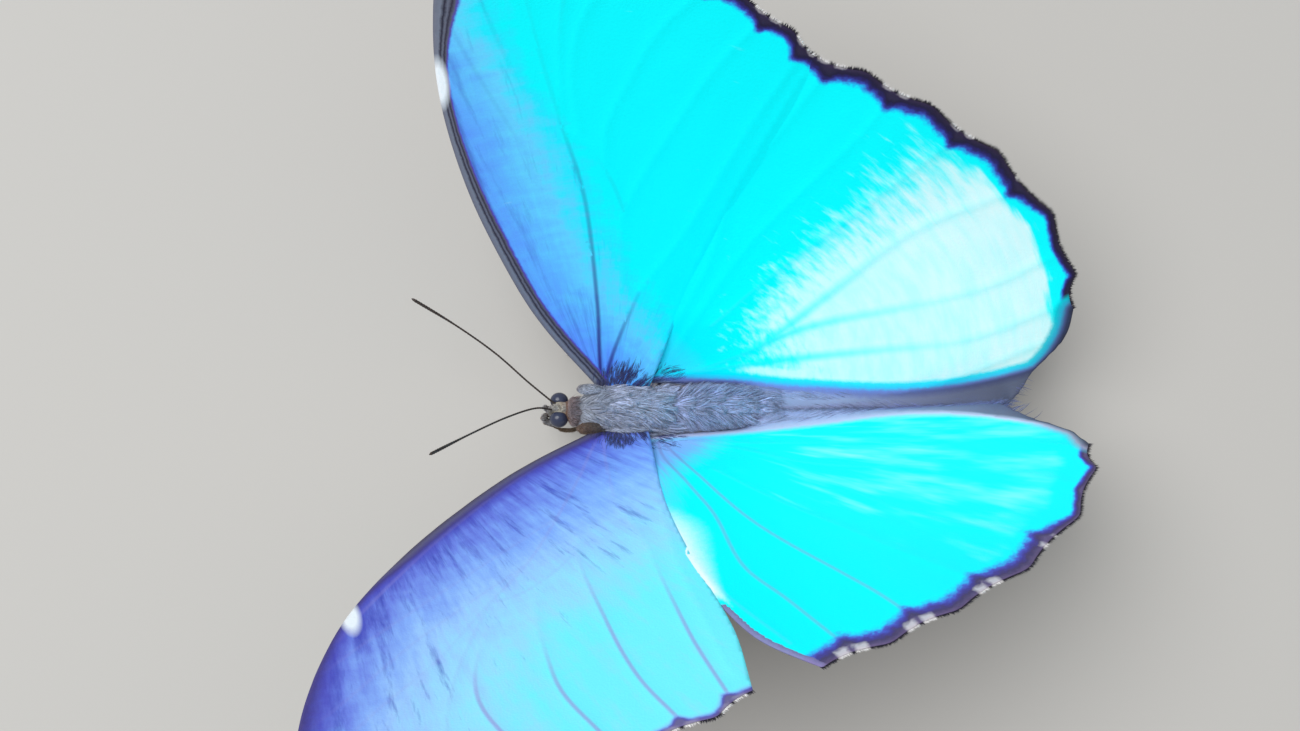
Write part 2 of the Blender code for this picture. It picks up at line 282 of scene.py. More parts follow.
def joined(parts: list[Solid]) -> Solid:
    """Several solids as one."""
    starts = np.cumsum([0] + [len(p.points) for p in parts])
    values = {k: np.concatenate([p.values[k] for p in parts]) for k in parts[0].values}
    unwraps = [p.unwrap for p in parts if p.unwrap is not None]
    return Solid(
        np.concatenate([p.points for p in parts]),
        np.concatenate([p.triangles + s for p, s in zip(parts, starts)]),
        values,
        np.concatenate(unwraps) if len(unwraps) == len(parts) else None,
    )


def settle(piece: Thing, replaced: list[str]) -> None:
    """Ties a finished piece to the frame and reports it.

    Args:
        piece: the object.
        replaced: the frame's nodes that it stands for.
    """
    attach(piece, "root")
    if replaced:
        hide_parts(*replaced)
    LOG.info("%s: %d faces", piece.name, len(piece.data.polygons))


def only_none() -> None:
    """Leaves edit mode and deselects everything."""
    if bpy.context.mode != "OBJECT":
        bpy.ops.object.mode_set(mode="OBJECT")
    bpy.ops.object.select_all(action="DESELECT")


def only(thing: Thing) -> None:
    """Selects one object and nothing else."""
    only_none()
    thing.select_set(True)
    bpy.context.view_layer.objects.active = thing


def melded(things: list[Thing], name: str) -> Thing:
    """Joins objects into the first of them, under a new name."""
    only(things[0])
    for thing in things:
        thing.select_set(True)
    if len(things) > 1:
        bpy.ops.object.join()
    made = bpy.context.view_layer.objects.active
    made.name = made.data.name = name
    return made


def apply_modifier(thing: Thing, kind: str, **settings: object) -> None:
    """Adds a modifier with its settings and applies it."""
    only(thing)
    modifier = thing.modifiers.new(kind.lower(), kind)
    for key, value in settings.items():
        setattr(modifier, key, value)
    bpy.ops.object.modifier_apply(modifier=modifier.name)


def ball(centre: Triple | Array, radii: Triple, segments: int = 32, lean: float = 0.0) -> Thing:
    """A sphere stretched to three half sizes.

    Args:
        centre: its middle, in working millimetres.
        radii: its half sizes, in millimetres.
        segments: how many faces go round it.
        lean: degrees that it leans about its length.

    Returns:
        The object, with its place in its mesh.
    """
    only_none()
    bpy.ops.mesh.primitive_uv_sphere_add(segments=segments, ring_count=segments * 2 // 3, radius=MM)
    thing = bpy.context.view_layer.objects.active
    turn = Matrix.Rotation(math.radians(lean), 4, "Y")
    thing.data.transform(turn @ Matrix.Diagonal((*radii, 1.0)))
    thing.data.transform(Matrix.Translation(LAYOUT.place(centre)))
    return thing


def rod(path: Array, radii: Array, sides: int = 3) -> Thing:
    """A closed rod of changing width along a path.

    Args:
        path: its middle line, in working millimetres.
        radii: its half width at each point of the path.
        sides: the bevel's resolution, 0 for a square rod.

    Returns:
        The object, with its place in its mesh.
    """
    curve = bpy.data.curves.new("rod", "CURVE")
    curve.dimensions = "3D"
    curve.bevel_depth = MM
    curve.bevel_resolution = sides
    curve.use_fill_caps = True
    spline = curve.splines.new("POLY")
    spline.points.add(len(path) - 1)
    places = np.c_[LAYOUT.place(path), np.ones(len(path))]
    spline.points.foreach_set("co", places.astype(np.float32).ravel())
    spline.points.foreach_set("radius", np.asarray(radii, np.float32))
    thing = bpy.data.objects.new("rod", curve)
    bpy.context.scene.collection.objects.link(thing)
    only(thing)
    bpy.ops.object.convert(target="MESH")
    return bpy.context.view_layer.objects.active


def surface_of(thing: Thing) -> tuple[Array, Array, Array]:
    """A mesh's points in working millimetres, its triangles and its normals at the points."""
    mesh = thing.data
    points = np.zeros(len(mesh.vertices) * 3)
    mesh.vertices.foreach_get("co", points)
    mesh.calc_loop_triangles()
    triangles = np.zeros(len(mesh.loop_triangles) * 3, np.int32)
    mesh.loop_triangles.foreach_get("vertices", triangles)
    points, triangles = LAYOUT.local(points.reshape(-1, 3)), triangles.reshape(-1, 3)
    return points, triangles, normals_of(points, triangles)


def normals_of(points: Array, triangles: Array) -> Array:
    """The mean normal of the faces round each point."""
    a, b, c = (points[triangles[:, k]] for k in range(3))
    face = np.cross(b - a, c - a)
    total = np.zeros_like(points)
    for k in range(3):
        np.add.at(total, triangles[:, k], face)
    return unit(total)


def in_order(points: Array, triangles: Array) -> tuple[Array, Array]:
    """Sorts a surface by place, since the sphere operator's own order differs from run to run.

    Args:
        points: the surface's points, in working millimetres.
        triangles: its triangles.

    Returns:
        The same points and triangles, always in the same order.
    """
    order = np.lexsort(points.round(4).T)
    faces = np.argsort(order)[triangles]
    faces = np.array([np.roll(face, -face.argmin()) for face in faces])
    return points[order], faces[np.lexsort(faces.T)]


# ---------------------------------------------------------------- hair and scales


@dataclass
class Hairs:
    """Roots of hairs or tufts on a surface, with the way each grows."""

    roots: Array
    normals: Array
    flows: Array
    unwrap: Array

    @property
    def count(self) -> int:
        """How many there are."""
        return len(self.roots)


def scatter(
    points: Array, triangles: Array, normals: Array, unwrap: Array, share: Array, count: int, seed: int
) -> tuple[Hairs, Array, Array]:
    """Draws roots over a surface.

    Args:
        points: the surface's points.
        triangles: its triangles.
        normals: its normals at the points.
        unwrap: its flat map at the points.
        share: how densely each point is covered, from 0.
        count: how many roots to draw.
        seed: the draw's seed.

    Returns:
        The roots with no flow yet, and the triangle and the corner weights that each fell on.
    """
    rng = np.random.default_rng(seed)
    a, b, c = (points[triangles[:, k]] for k in range(3))
    area = np.linalg.norm(np.cross(b - a, c - a), axis=1) * share[triangles].mean(1)
    chosen = rng.choice(len(triangles), count, p=area / area.sum())
    r1, r2 = np.sqrt(rng.random(count)), rng.random(count)
    weights = np.stack([1 - r1, r1 * (1 - r2), r1 * r2], 1)
    corners = triangles[chosen]
    roots = np.einsum("nk,nkd->nd", weights, points[corners])
    normal = unit(np.einsum("nk,nkd->nd", weights, normals[corners]))
    flat = unwrap[corners[:, 0]]
    return Hairs(roots, normal, np.zeros_like(roots), flat), corners, weights


@dataclass
class Tuft:
    """How one kind of hair is cut: tapering three-sided strands that rise, bend over and gather."""

    length: float
    width: float
    lift: float = 0.35
    droop: float = 0.75
    curl: float = 0.12
    gather: float = 0.5
    per_lock: int = 9
    flatness: float = 0.5
    rings: tuple[float, ...] = (0.0, 0.28, 0.56, 0.8)
    patch: float = 0.003
    sunk: float = 0.08
    block: int = 2000

    def grow(
        self, hairs: Hairs, seed: int, scale: Array | None = None, barrier: "Barrier | None" = None
    ) -> Solid:
        """Grows every strand.

        Args:
            hairs: where they stand and which way they lie.
            seed: the seed of their small differences.
            scale: each one's length, as a share of the kind's own.
            barrier: what none of them grows through.

        Returns:
            One mesh, with each point's root, its place along its hair and its hair's own tone.
        """
        rng = np.random.default_rng(seed)
        n = hairs.count
        length = self.length * rng.uniform(0.7, 1.2, n) * (1 if scale is None else scale)
        width = self.width * rng.uniform(0.7, 1.25, n)
        flow = unit(hairs.flows - hairs.normals * (hairs.flows * hairs.normals).sum(1, keepdims=True))
        across = np.cross(flow, hairs.normals)
        lift = self.lift * rng.uniform(0.6, 1.4, n)
        curl = self.curl * rng.normal(0, 1, n)
        stations = np.array([*self.rings, 1.0])
        s = stations[None, :, None]
        path = (
            hairs.roots[:, None]
            - hairs.normals[:, None] * self.sunk
            + length[:, None, None]
            * (
                flow[:, None] * s
                + hairs.normals[:, None] * (lift[:, None, None] * (s - self.droop * s * s))
                + across[:, None] * (curl[:, None, None] * s * s)
            )
        )
        if self.gather and n > 2 * self.per_lock:
            leaders = rng.choice(n, n // self.per_lock, replace=False)
            nearest = np.zeros(n, int)
            for start in range(0, n, self.block):
                block = slice(start, start + self.block)
                gaps = ((hairs.roots[block, None] - hairs.roots[leaders][None]) ** 2).sum(2)
                nearest[block] = leaders[gaps.argmin(1)]
            pull = path[nearest, -1] - path[:, -1]
            reach = np.minimum(1.0, 0.7 * length / np.maximum(np.linalg.norm(pull, axis=1), 1e-6))
            path += (s**2) * self.gather * (pull * reach[:, None])[:, None]
        if barrier:
            path = barrier.trim(path, stations)
        along = unit(np.gradient(path, axis=1))
        side = unit(np.cross(along, hairs.normals[:, None]))
        up = np.cross(side, along)
        taper = np.maximum(1 - stations**1.6, 0.0)[None, :, None] * width[:, None, None] / 2
        corners = []
        for angle in (90, 210, 330):
            c, d = math.cos(math.radians(angle)), math.sin(math.radians(angle))
            corners.append(path + taper * (side * c + up * d * self.flatness))
        shaft = np.stack(corners, 2)[:, :-1].reshape(n, -1, 3)
        points = np.concatenate([shaft, path[:, -1:]], 1)
        triangles, places = self.strand()
        per = points.shape[1]
        offset = (np.arange(n) * per)[:, None, None]
        tone = np.repeat(rng.random(n), per)
        spread = np.stack([np.tile([0.0, 0.5, 1.0], len(self.rings)), places[:-1]], 1)
        spread = np.vstack([spread, [0.5, 1.0]]) * self.patch
        return Solid(
            points.reshape(-1, 3),
            (triangles[None] + offset).reshape(-1, 3),
            {
                "root": np.repeat(hairs.roots, per, axis=0),
                "tip": np.tile(places, n),
                "tone": tone,
            },
            (hairs.unwrap[:, None] * (1 - self.patch) + spread[None]).reshape(-1, 2),
        )

    def strand(self) -> tuple[Array, Array]:
        """One strand's triangles, and each of its points' place from root to tip."""
        faces = [(2, 1, 0)]
        rows = len(self.rings)
        for row in range(rows - 1):
            for k in range(3):
                a, b = 3 * row + k, 3 * row + (k + 1) % 3
                faces += [(a, b, b + 3), (a, b + 3, a + 3)]
        last = 3 * (rows - 1)
        faces += [(last + k, last + (k + 1) % 3, last + 3) for k in range(3)]
        return np.array(faces), np.r_[np.repeat(self.rings, 3), 1.0]


@dataclass
class Barrier:
    """Finished pieces that hair stops short of."""

    pieces: list[Thing]
    reach: float = 12.0
    clearance: float = 0.06

    @cached_property
    def tree(self) -> BVHTree:
        """The pieces' triangles that lie near the body's axis."""
        points, triangles = [], []
        for piece in self.pieces:
            places, faces, _ = surface_of(piece)
            close = np.hypot(places[:, 0], places[:, 2])[faces].min(1) < self.reach
            triangles.append(faces[close] + sum(map(len, points)))
            points.append(places)
        return BVHTree.FromPolygons(np.vstack(points).tolist(), np.vstack(triangles).tolist())

    def trim(self, path: Array, stations: Array) -> Array:
        """Cuts each strand short where it meets a piece.

        Args:
            path: the strands' middle lines, one to a row.
            stations: the share of a strand's length at which each point of its line lies.

        Returns:
            The strands, each squeezed along its own line into what is left of it.
        """
        path = path.copy()
        for strand in path:
            for k in range(1, len(strand)):
                start, step = Vector(strand[k - 1]), Vector(strand[k] - strand[k - 1])
                hit = self.tree.ray_cast(start, step, step.length)
                if hit[0] is None:
                    continue
                met = max(hit[3] - self.clearance, 0.0) / max(step.length, 1e-9)
                left = stations[k - 1] + met * (stations[k] - stations[k - 1])
                line = strand.copy()
                for axis in range(3):
                    strand[:, axis] = np.interp(stations * left, stations, line[:, axis])
                break
        return path


# ---------------------------------------------------------------- wings


ROOT_HAIR = Tuft(2.1, 0.085, lift=0.25, droop=0.8, curl=0.04, gather=0.6, per_lock=16)
FOLD_HAIR = Tuft(2.6, 0.12, lift=0.1, droop=0.85, curl=0.15, gather=0.3)
FRINGE_SCALE = Tuft(0.65, 0.2, lift=0.05, curl=0.06, gather=0.0, rings=(0.0, 0.5), flatness=0.25)


@dataclass(frozen=True)
class Vein:
    """A vein's path over the flat wing, and how dark its line shows at its root and at its end."""

    path: list[Pair]
    root_ink: float = 0.25
    end_ink: float = 0.15


@dataclass
class Wing:
    """A wing drawn flat, as distances out from its hinge and forwards of it, then raised into place."""

    side: Side
    name: str
    costa: list[Pair]
    ends: list[Pair]
    inner: list[Pair]
    base: list[Pair]
    veins: dict[str, Vein]
    scallop: float
    hinge_y: float
    drop: float
    sweep: float
    dihedral: float
    incidence: float
    dish: float
    pole: Pair
    grain: Triple | None = None
    hinge: Triple = (3.2, 0.0, 2.0)
    spacing: float = 0.42
    thickness: float = 0.2
    vein_height: float = 0.09
    vein_width: float = 0.2
    tooth_depth: float = 0.85
    tooth_width: float = 0.8
    mark_place: float = 1.15
    mark_half: float = 0.9
    mark_depth: float = 1.25
    arc_steps: int = 24
    rounding: int = 9
    root_hair_count: int = 800

    def margin_line(self) -> Array:
        """The outer margin, in shallow inward arcs."""
        line = []
        for start, end in zip(np.array(self.ends), np.array(self.ends[1:])):
            along = end - start
            inward = np.array((along[1], -along[0])) / np.linalg.norm(along)
            t = np.arange(self.arc_steps)[:, None] / self.arc_steps
            line.append(start + along * t + inward * self.scallop * np.sin(math.pi * t) ** 0.8)
        line = np.vstack([*line, self.ends[-1]])
        kernel = np.hanning(self.rounding + 2)[1:-1]
        half = self.rounding // 2
        padded = np.pad(line, ((half, half), (0, 0)), "reflect", reflect_type="odd")
        soft = [np.convolve(padded[:, k], kernel / kernel.sum(), "valid") for k in (0, 1)]
        return np.stack(soft, 1)

    def costa_line(self) -> Array:
        """The front edge, from the hinge to the outer margin."""
        return catmull_rom(self.costa, 10)

    def inner_line(self) -> Array:
        """The rear edge, from the outer margin back to the hinge."""
        return catmull_rom(self.inner, 10)

    def outline(self) -> Array:
        """The whole edge, closed round the hinge."""
        parts = [self.costa_line(), self.margin_line(), self.inner_line(), np.array(self.base)]
        line = evenly(np.vstack([*parts, self.costa_line()[:1]]), self.spacing)
        return line[:-1]

    def vein_line(self, vein: Vein) -> Array:
        """A vein's smooth path."""
        return evenly(catmull_rom(vein.path, 8), self.spacing)

    def tooth_places(self) -> Array:
        """Where veins end, measured along the outer margin."""
        margin = self.margin_line()
        lengths = np.r_[0, np.cumsum(np.linalg.norm(np.diff(margin, axis=0), axis=1))]
        return lengths[self.arc_steps // 2 :: self.arc_steps]

    @cached_property
    def sheet(self) -> tuple[Array, Array, Array]:
        """The flat points, the triangles, and the points' places on the animal."""
        flat, triangles = self.flat_mesh()
        return flat, triangles, self.eased(flat, self.place(flat), triangles)

    def flat_mesh(self) -> tuple[Array, Array]:
        """Fills the outline with small triangles whose edges follow the veins.

        Returns:
            The flat points and the triangles.
        """
        edge = self.outline()
        corners, lines = [edge], []
        ring = np.arange(len(edge))
        start = len(edge)
        for vein in self.veins.values():
            path = self.vein_line(vein)
            path = path[inside(path, edge)]
            off, _ = distance_to(path, np.vstack([edge, edge[:1]]))
            path = path[off > 0.5 * self.spacing]
            corners.append(path)
            steps = np.arange(start, start + len(path) - 1)
            lines += [(int(a), int(a) + 1) for a in steps]
            start += len(path)
        low, high = edge.min(0), edge.max(0)
        rows = np.arange(low[1], high[1], self.spacing * 0.866)
        columns = np.arange(low[0], high[0], self.spacing)
        grid = np.array([(u + self.spacing / 2 * (k % 2), v) for k, v in enumerate(rows) for u in columns])
        grid = grid[inside(grid, edge)]
        clear = distance_to(grid, np.vstack([edge, edge[:1]]))[0] > 0.6 * self.spacing
        for path in corners[1:]:
            clear &= distance_to(grid, path)[0] > 0.55 * self.spacing
        coords = [Vector(p) for p in np.vstack([*corners, grid[clear]])]
        found = delaunay_2d_cdt(coords, lines, [ring.tolist()], 1, 1e-4)
        points = np.array([tuple(p) for p in found[0]])
        triangles = np.array([f for f in found[2] if len(f) == 3])
        used, index = np.unique(triangles.ravel(), return_inverse=True)
        return points[used], index.reshape(-1, 3)

    def raised(self, flat: Array) -> Array:
        """Flat points swept about the hinge, dished, tilted and lifted, on the left side."""
        turn = math.radians(-self.sweep)
        u, v = flat[:, 0], flat[:, 1]
        x = u * math.cos(turn) + v * math.sin(turn)
        y = u * math.sin(turn) - v * math.cos(turn) + self.hinge_y
        local = np.stack([x, y, self.dish * y * y - self.drop], 1)
        tilt = Matrix.Rotation(math.radians(self.incidence), 3, "X")
        lift = Matrix.Rotation(math.radians(-self.dihedral), 3, "Y")
        return local @ np.array(lift @ tilt).T + np.array(self.hinge)

    def place(self, flat: Array) -> Array:
        """Flat points in their places on the animal."""
        return self.raised(flat) * (self.side.value, 1, 1)

    def relief(self, flat: Array, vein: Array) -> Array:
        """How far the membrane bows off its smooth shape, with a crest along each vein."""
        over = self.raised(flat)[:, :2]
        slow = 0.22 * wander(over, 14.0, 1.0) + 0.04 * wander(over, 3.5, 2.0)
        bowed = slow * smooth_step(4.0, 16.0, np.hypot(*flat.T)) + 0.06 * np.exp(-((vein / 0.9) ** 2))
        return bowed * smooth_step(3.0, 0.0, self.fold_depth(flat))

    def measures(self, flat: Array) -> dict[str, Array]:
        """What the wing's finishes read at each flat point."""
        margin, along = distance_to(flat, self.margin_line())
        costa, _ = distance_to(flat, self.costa_line())
        phase = np.abs(along[:, None] - self.tooth_places()[None]).min(1)
        vein, ink = np.full(len(flat), 1e9), np.zeros(len(flat))
        for one in self.veins.values():
            line = self.vein_line(one)
            far, run = distance_to(flat, line)
            share = run / (self.spacing * (len(line) - 1))
            nearer = far < vein
            vein[nearer] = far[nearer]
            grown = share if one.root_ink > one.end_ink else smooth_step(0.3, 0.75, share)
            ink[nearer] = (one.root_ink + (one.end_ink - one.root_ink) * grown)[nearer]
        tooth = self.tooth_depth * np.exp(-((phase / self.tooth_width) ** 2)) * self.toothed(flat)
        border = (margin - tooth) / self.border_width(flat)
        mark = np.maximum(np.abs(phase - self.mark_place) / self.mark_half, margin / self.mark_depth)
        mark += 2.0 * (1 - self.toothed(flat))
        u, v, fineness = self.grain or (*self.pole, 1.0)
        ray = flat - np.array((u, v))
        fan = np.stack([np.arctan2(ray[:, 1], ray[:, 0]) * fineness, np.hypot(*ray.T), mark], 1)
        return {
            "edges": np.stack([border, self.costa_place(flat, costa), self.fold_depth(flat)], 1),
            "lines": np.stack([vein, ink, self.spot(flat)], 1),
            "fan": fan,
            "plan": np.c_[flat, margin],
            "ground": self.ground(flat, costa),
            # The painted highlight's strength: pale glare that the finish paints over the blue.
            "painted_sheen": self.painted_sheen(flat, margin, vein),
        }

    def toothed(self, flat: Array) -> Array:
        """How far the border runs in along the veins, as a share of its full depth."""
        return np.ones(len(flat))

    def border_width(self, flat: Array) -> Array:
        """How wide the dark outer border is."""
        raise NotImplementedError

    def costa_width(self, flat: Array) -> Array:
        """How wide the band along the front edge is."""
        raise NotImplementedError

    def costa_place(self, flat: Array, costa: Array) -> Array:
        """Where a point stands in the run of colours along the front edge."""
        return costa / self.costa_width(flat)

    def fold_depth(self, flat: Array) -> Array:
        """How far past the fold line a point is; far outside it on a wing with none."""
        return np.full(len(flat), -50.0)

    def spot(self, flat: Array) -> Array:
        """Under 1 inside the white spot."""
        return np.full(len(flat), 9.0)

    def ground(self, flat: Array, costa: Array) -> Array:
        """Where a point stands in the wing's run of blues."""
        raise NotImplementedError

    def painted_sheen(self, flat: Array, margin: Array, vein: Array) -> Array:
        """How strongly the painted highlight shows: a pale, silky-looking glare painted over the blue."""
        return np.zeros(len(flat))

    def unwrap(self, flat: Array, under: bool) -> Array:
        """The flat wing laid out on one half of its map."""
        edge = self.outline()
        low, size = edge.min(0), np.ptp(edge, axis=0)
        scale = 0.47 / max(size[1], size[0] / 2)
        spread = (flat - low) * scale
        return np.stack([spread[:, 1] + (0.52 if under else 0.01), spread[:, 0] + 0.01], 1)

    def shell(self) -> Solid:
        """The wing's upper and under skins, with the thin rim that joins them."""
        flat, triangles, middle = self.sheet
        values = self.measures(flat)
        normals = normals_of(middle, triangles)
        if np.median(normals[:, 2]) < 0:
            triangles, normals = triangles[:, ::-1], -normals
        vein = values["lines"][:, 0]
        rear, _ = distance_to(flat, self.inner_line())
        thin = 0.3 + 0.7 * smooth_step(0.0, 1.2, np.minimum(rear, values["plan"][:, 2]))
        middle = middle + normals * self.relief(flat, vein)[:, None]
        rib = self.vein_height * np.exp(-((vein / self.vein_width) ** 2))
        half = normals * ((self.thickness / 2 + rib) * thin)[:, None]
        upper = normals * ((self.thickness / 2 + 0.4 * rib) * thin)[:, None]
        count = len(flat)
        sides = np.concatenate([triangles[:, (0, 1)], triangles[:, (1, 2)], triangles[:, (2, 0)]])
        keys = np.sort(sides, 1) @ np.array([count, 1])
        _, first, seen = np.unique(keys, return_index=True, return_counts=True)
        a, b = sides[first[seen == 1]].T
        rim = np.concatenate([np.stack([b, a, a + count], 1), np.stack([b, a + count, b + count], 1)])
        faces = np.concatenate([triangles, triangles[:, ::-1] + count, rim])
        finishes = np.r_[np.zeros(len(triangles)), np.ones(len(triangles)), np.zeros(len(rim))]
        return Solid(
            np.concatenate([middle + upper, middle - half]),
            faces,
            {k: np.concatenate([v, v]) for k, v in values.items()},
            np.concatenate([self.unwrap(flat, False), self.unwrap(flat, True)]),
            finishes,
        )

    def eased(self, flat: Array, places: Array, triangles: Array) -> Array:
        """The same places, with any crease rounded off."""
        return places

    def fringe(self) -> Solid:
        """The row of fringe scales that stands out from the outer margin."""
        rng = np.random.default_rng(5)
        line = evenly(self.margin_line(), 0.1)
        tangent = unit(np.gradient(line, axis=0))
        outward = np.stack([-tangent[:, 1], tangent[:, 0]], 1)
        if (outward @ (line.mean(0) - np.array(self.pole))).mean() < 0:
            outward = -outward
        rows = []
        for depth in (0.15, 0.35):
            start = line - outward * depth + tangent * rng.uniform(-0.05, 0.05, (len(line), 1))
            rows.append((start, outward + tangent * rng.normal(0, 0.12, (len(line), 1))))
        solids = []
        for start, way in rows:
            places = self.place(start)
            flows = self.place(start + way) - places
            side = self.place(start + tangent) - places
            normals = unit(np.cross(side, flows))
            normals *= np.sign(normals[:, 2:])
            measured = self.measures(start)
            places = places + normals * self.relief(start, measured["lines"][:, 0])[:, None]
            hairs = Hairs(places, normals, flows, self.unwrap(start, False))
            solid = FRINGE_SCALE.grow(hairs, 7)
            solid.values["mark"] = np.repeat(measured["fan"][:, 2], len(solid.points) // hairs.count)
            solids.append(solid)
        return joined(solids)

    def root_hairs(self) -> Solid:
        """The tuft of long dark hair round the hinge."""
        roots = self.wing_hairs(
            self.root_hair_count,
            21,
            lambda flat: smooth_step(5.0, 1.5, np.hypot(*flat.T)) ** 1.5,
            (0.0, -0.1),
        )
        return ROOT_HAIR.grow(roots, 22)

    def wing_hairs(self, count: int, seed: int, weigh: Callable[[Array], Array], lean: Pair) -> Hairs:
        """Roots on the upper side of the wing, lying away from the hinge.

        Args:
            count: how many.
            seed: the draw's seed.
            weigh: gives each flat point's share of them.
            lean: a flat direction added to the way they lie.

        Returns:
            The roots, with their flows.
        """
        flat, triangles, places = self.sheet
        normals = normals_of(places, triangles)
        if np.median(normals[:, 2]) < 0:
            normals = -normals
        hairs, corners, weights = scatter(
            places, triangles, normals, self.unwrap(flat, False), weigh(flat), count, seed
        )
        start = np.einsum("nk,nkd->nd", weights, flat[corners])
        way = unit(start - np.array(self.pole)) + np.array(lean)
        hairs.flows = self.place(start + way * 0.5) - self.place(start)
        hairs.roots = hairs.roots + hairs.normals * self.thickness / 2
        return hairs


def inside(points: Array, ring: Array) -> Array:
    """Whether each flat point is inside a closed outline."""
    found = np.zeros(len(points), bool)
    for a, b in zip(ring, np.roll(ring, -1, axis=0)):
        crosses = (a[1] > points[:, 1]) != (b[1] > points[:, 1])
        if a[1] == b[1]:
            continue
        at = a[0] + (points[:, 1] - a[1]) * (b[0] - a[0]) / (b[1] - a[1])
        found ^= crosses & (points[:, 0] < at)
    return found


@dataclass
class Forewing(Wing):
    """A forewing: bowed costa with a white spot, slightly falcate tip and near-straight outer margin."""

    spot_middle: Pair = (42.3, 32.9)
    spot_half: Pair = (3.4, 1.2)
    spot_turn: float = 14.0
    tip_band: float = 2.6
    rear_bend: float = 0.2
    rear_free: Pair = (38.0, 50.0)

    def relief(self, flat: Array, vein: Array) -> Array:
        """The rear edge also bends down to lie on the hindwing."""
        rear, _ = distance_to(flat, self.inner_line())
        bent = self.rear_bend * np.exp(-((rear / 2.6) ** 2)) * smooth_step(4.0, 14.0, flat[:, 0])
        return super().relief(flat, vein) - bent * (1 - smooth_step(*self.rear_free, flat[:, 0]))

    def border_width(self, flat: Array) -> Array:
        """Wide round the tip, narrow at the rear corner."""
        near = 1.0 if self.side is Side.RIGHT else 0.45
        return near + 3.4 * smooth_step(14.0, 34.0, flat[:, 1])

    def costa_width(self, flat: Array) -> Array:
        """Even to the spot, then wider towards the tip."""
        near = (2.1 if self.side is Side.RIGHT else 2.4) - 0.6 * smooth_step(20.0, 40.0, flat[:, 0])
        return near + self.tip_band * smooth_step(43.0, 62.0, flat[:, 0])

    def costa_place(self, flat: Array, costa: Array) -> Array:
        """The left wing's costa loses its grey edge towards the tip."""
        bluer = 0.5 * smooth_step(28.0, 40.0, flat[:, 0]) if self.side is Side.LEFT else 0.0
        return super().costa_place(flat, costa) + bluer

    def spot(self, flat: Array) -> Array:
        """Under 1 inside the white spot on the costa."""
        turn = math.radians(self.spot_turn)
        du, dv = (flat - np.array(self.spot_middle)).T
        along = du * math.cos(turn) + dv * math.sin(turn)
        across = dv * math.cos(turn) - du * math.sin(turn)
        return np.hypot(along / self.spot_half[0], across / self.spot_half[1])

    def ground(self, flat: Array, costa: Array) -> Array:
        """Violet or azure by the costa, cyan towards the rear; the two sides' runs differ as painted
        reflection of the iridescent blue.
        """
        out = smooth_step(34.0, 62.0, flat[:, 0])
        if self.side is Side.LEFT:
            out = smooth_step(22.0, 52.0, flat[:, 0]) * smooth_step(1.0, 12.0, costa)
            return np.clip(costa / 36.0 + 0.22 * out, 0, 1)
        near = smooth_step(14.0, 0.0, flat[:, 0]) * smooth_step(-4.0, 4.0, flat[:, 1])
        return np.clip(costa / 20.0 + 0.5 * out - 0.2 * near, 0, 1)


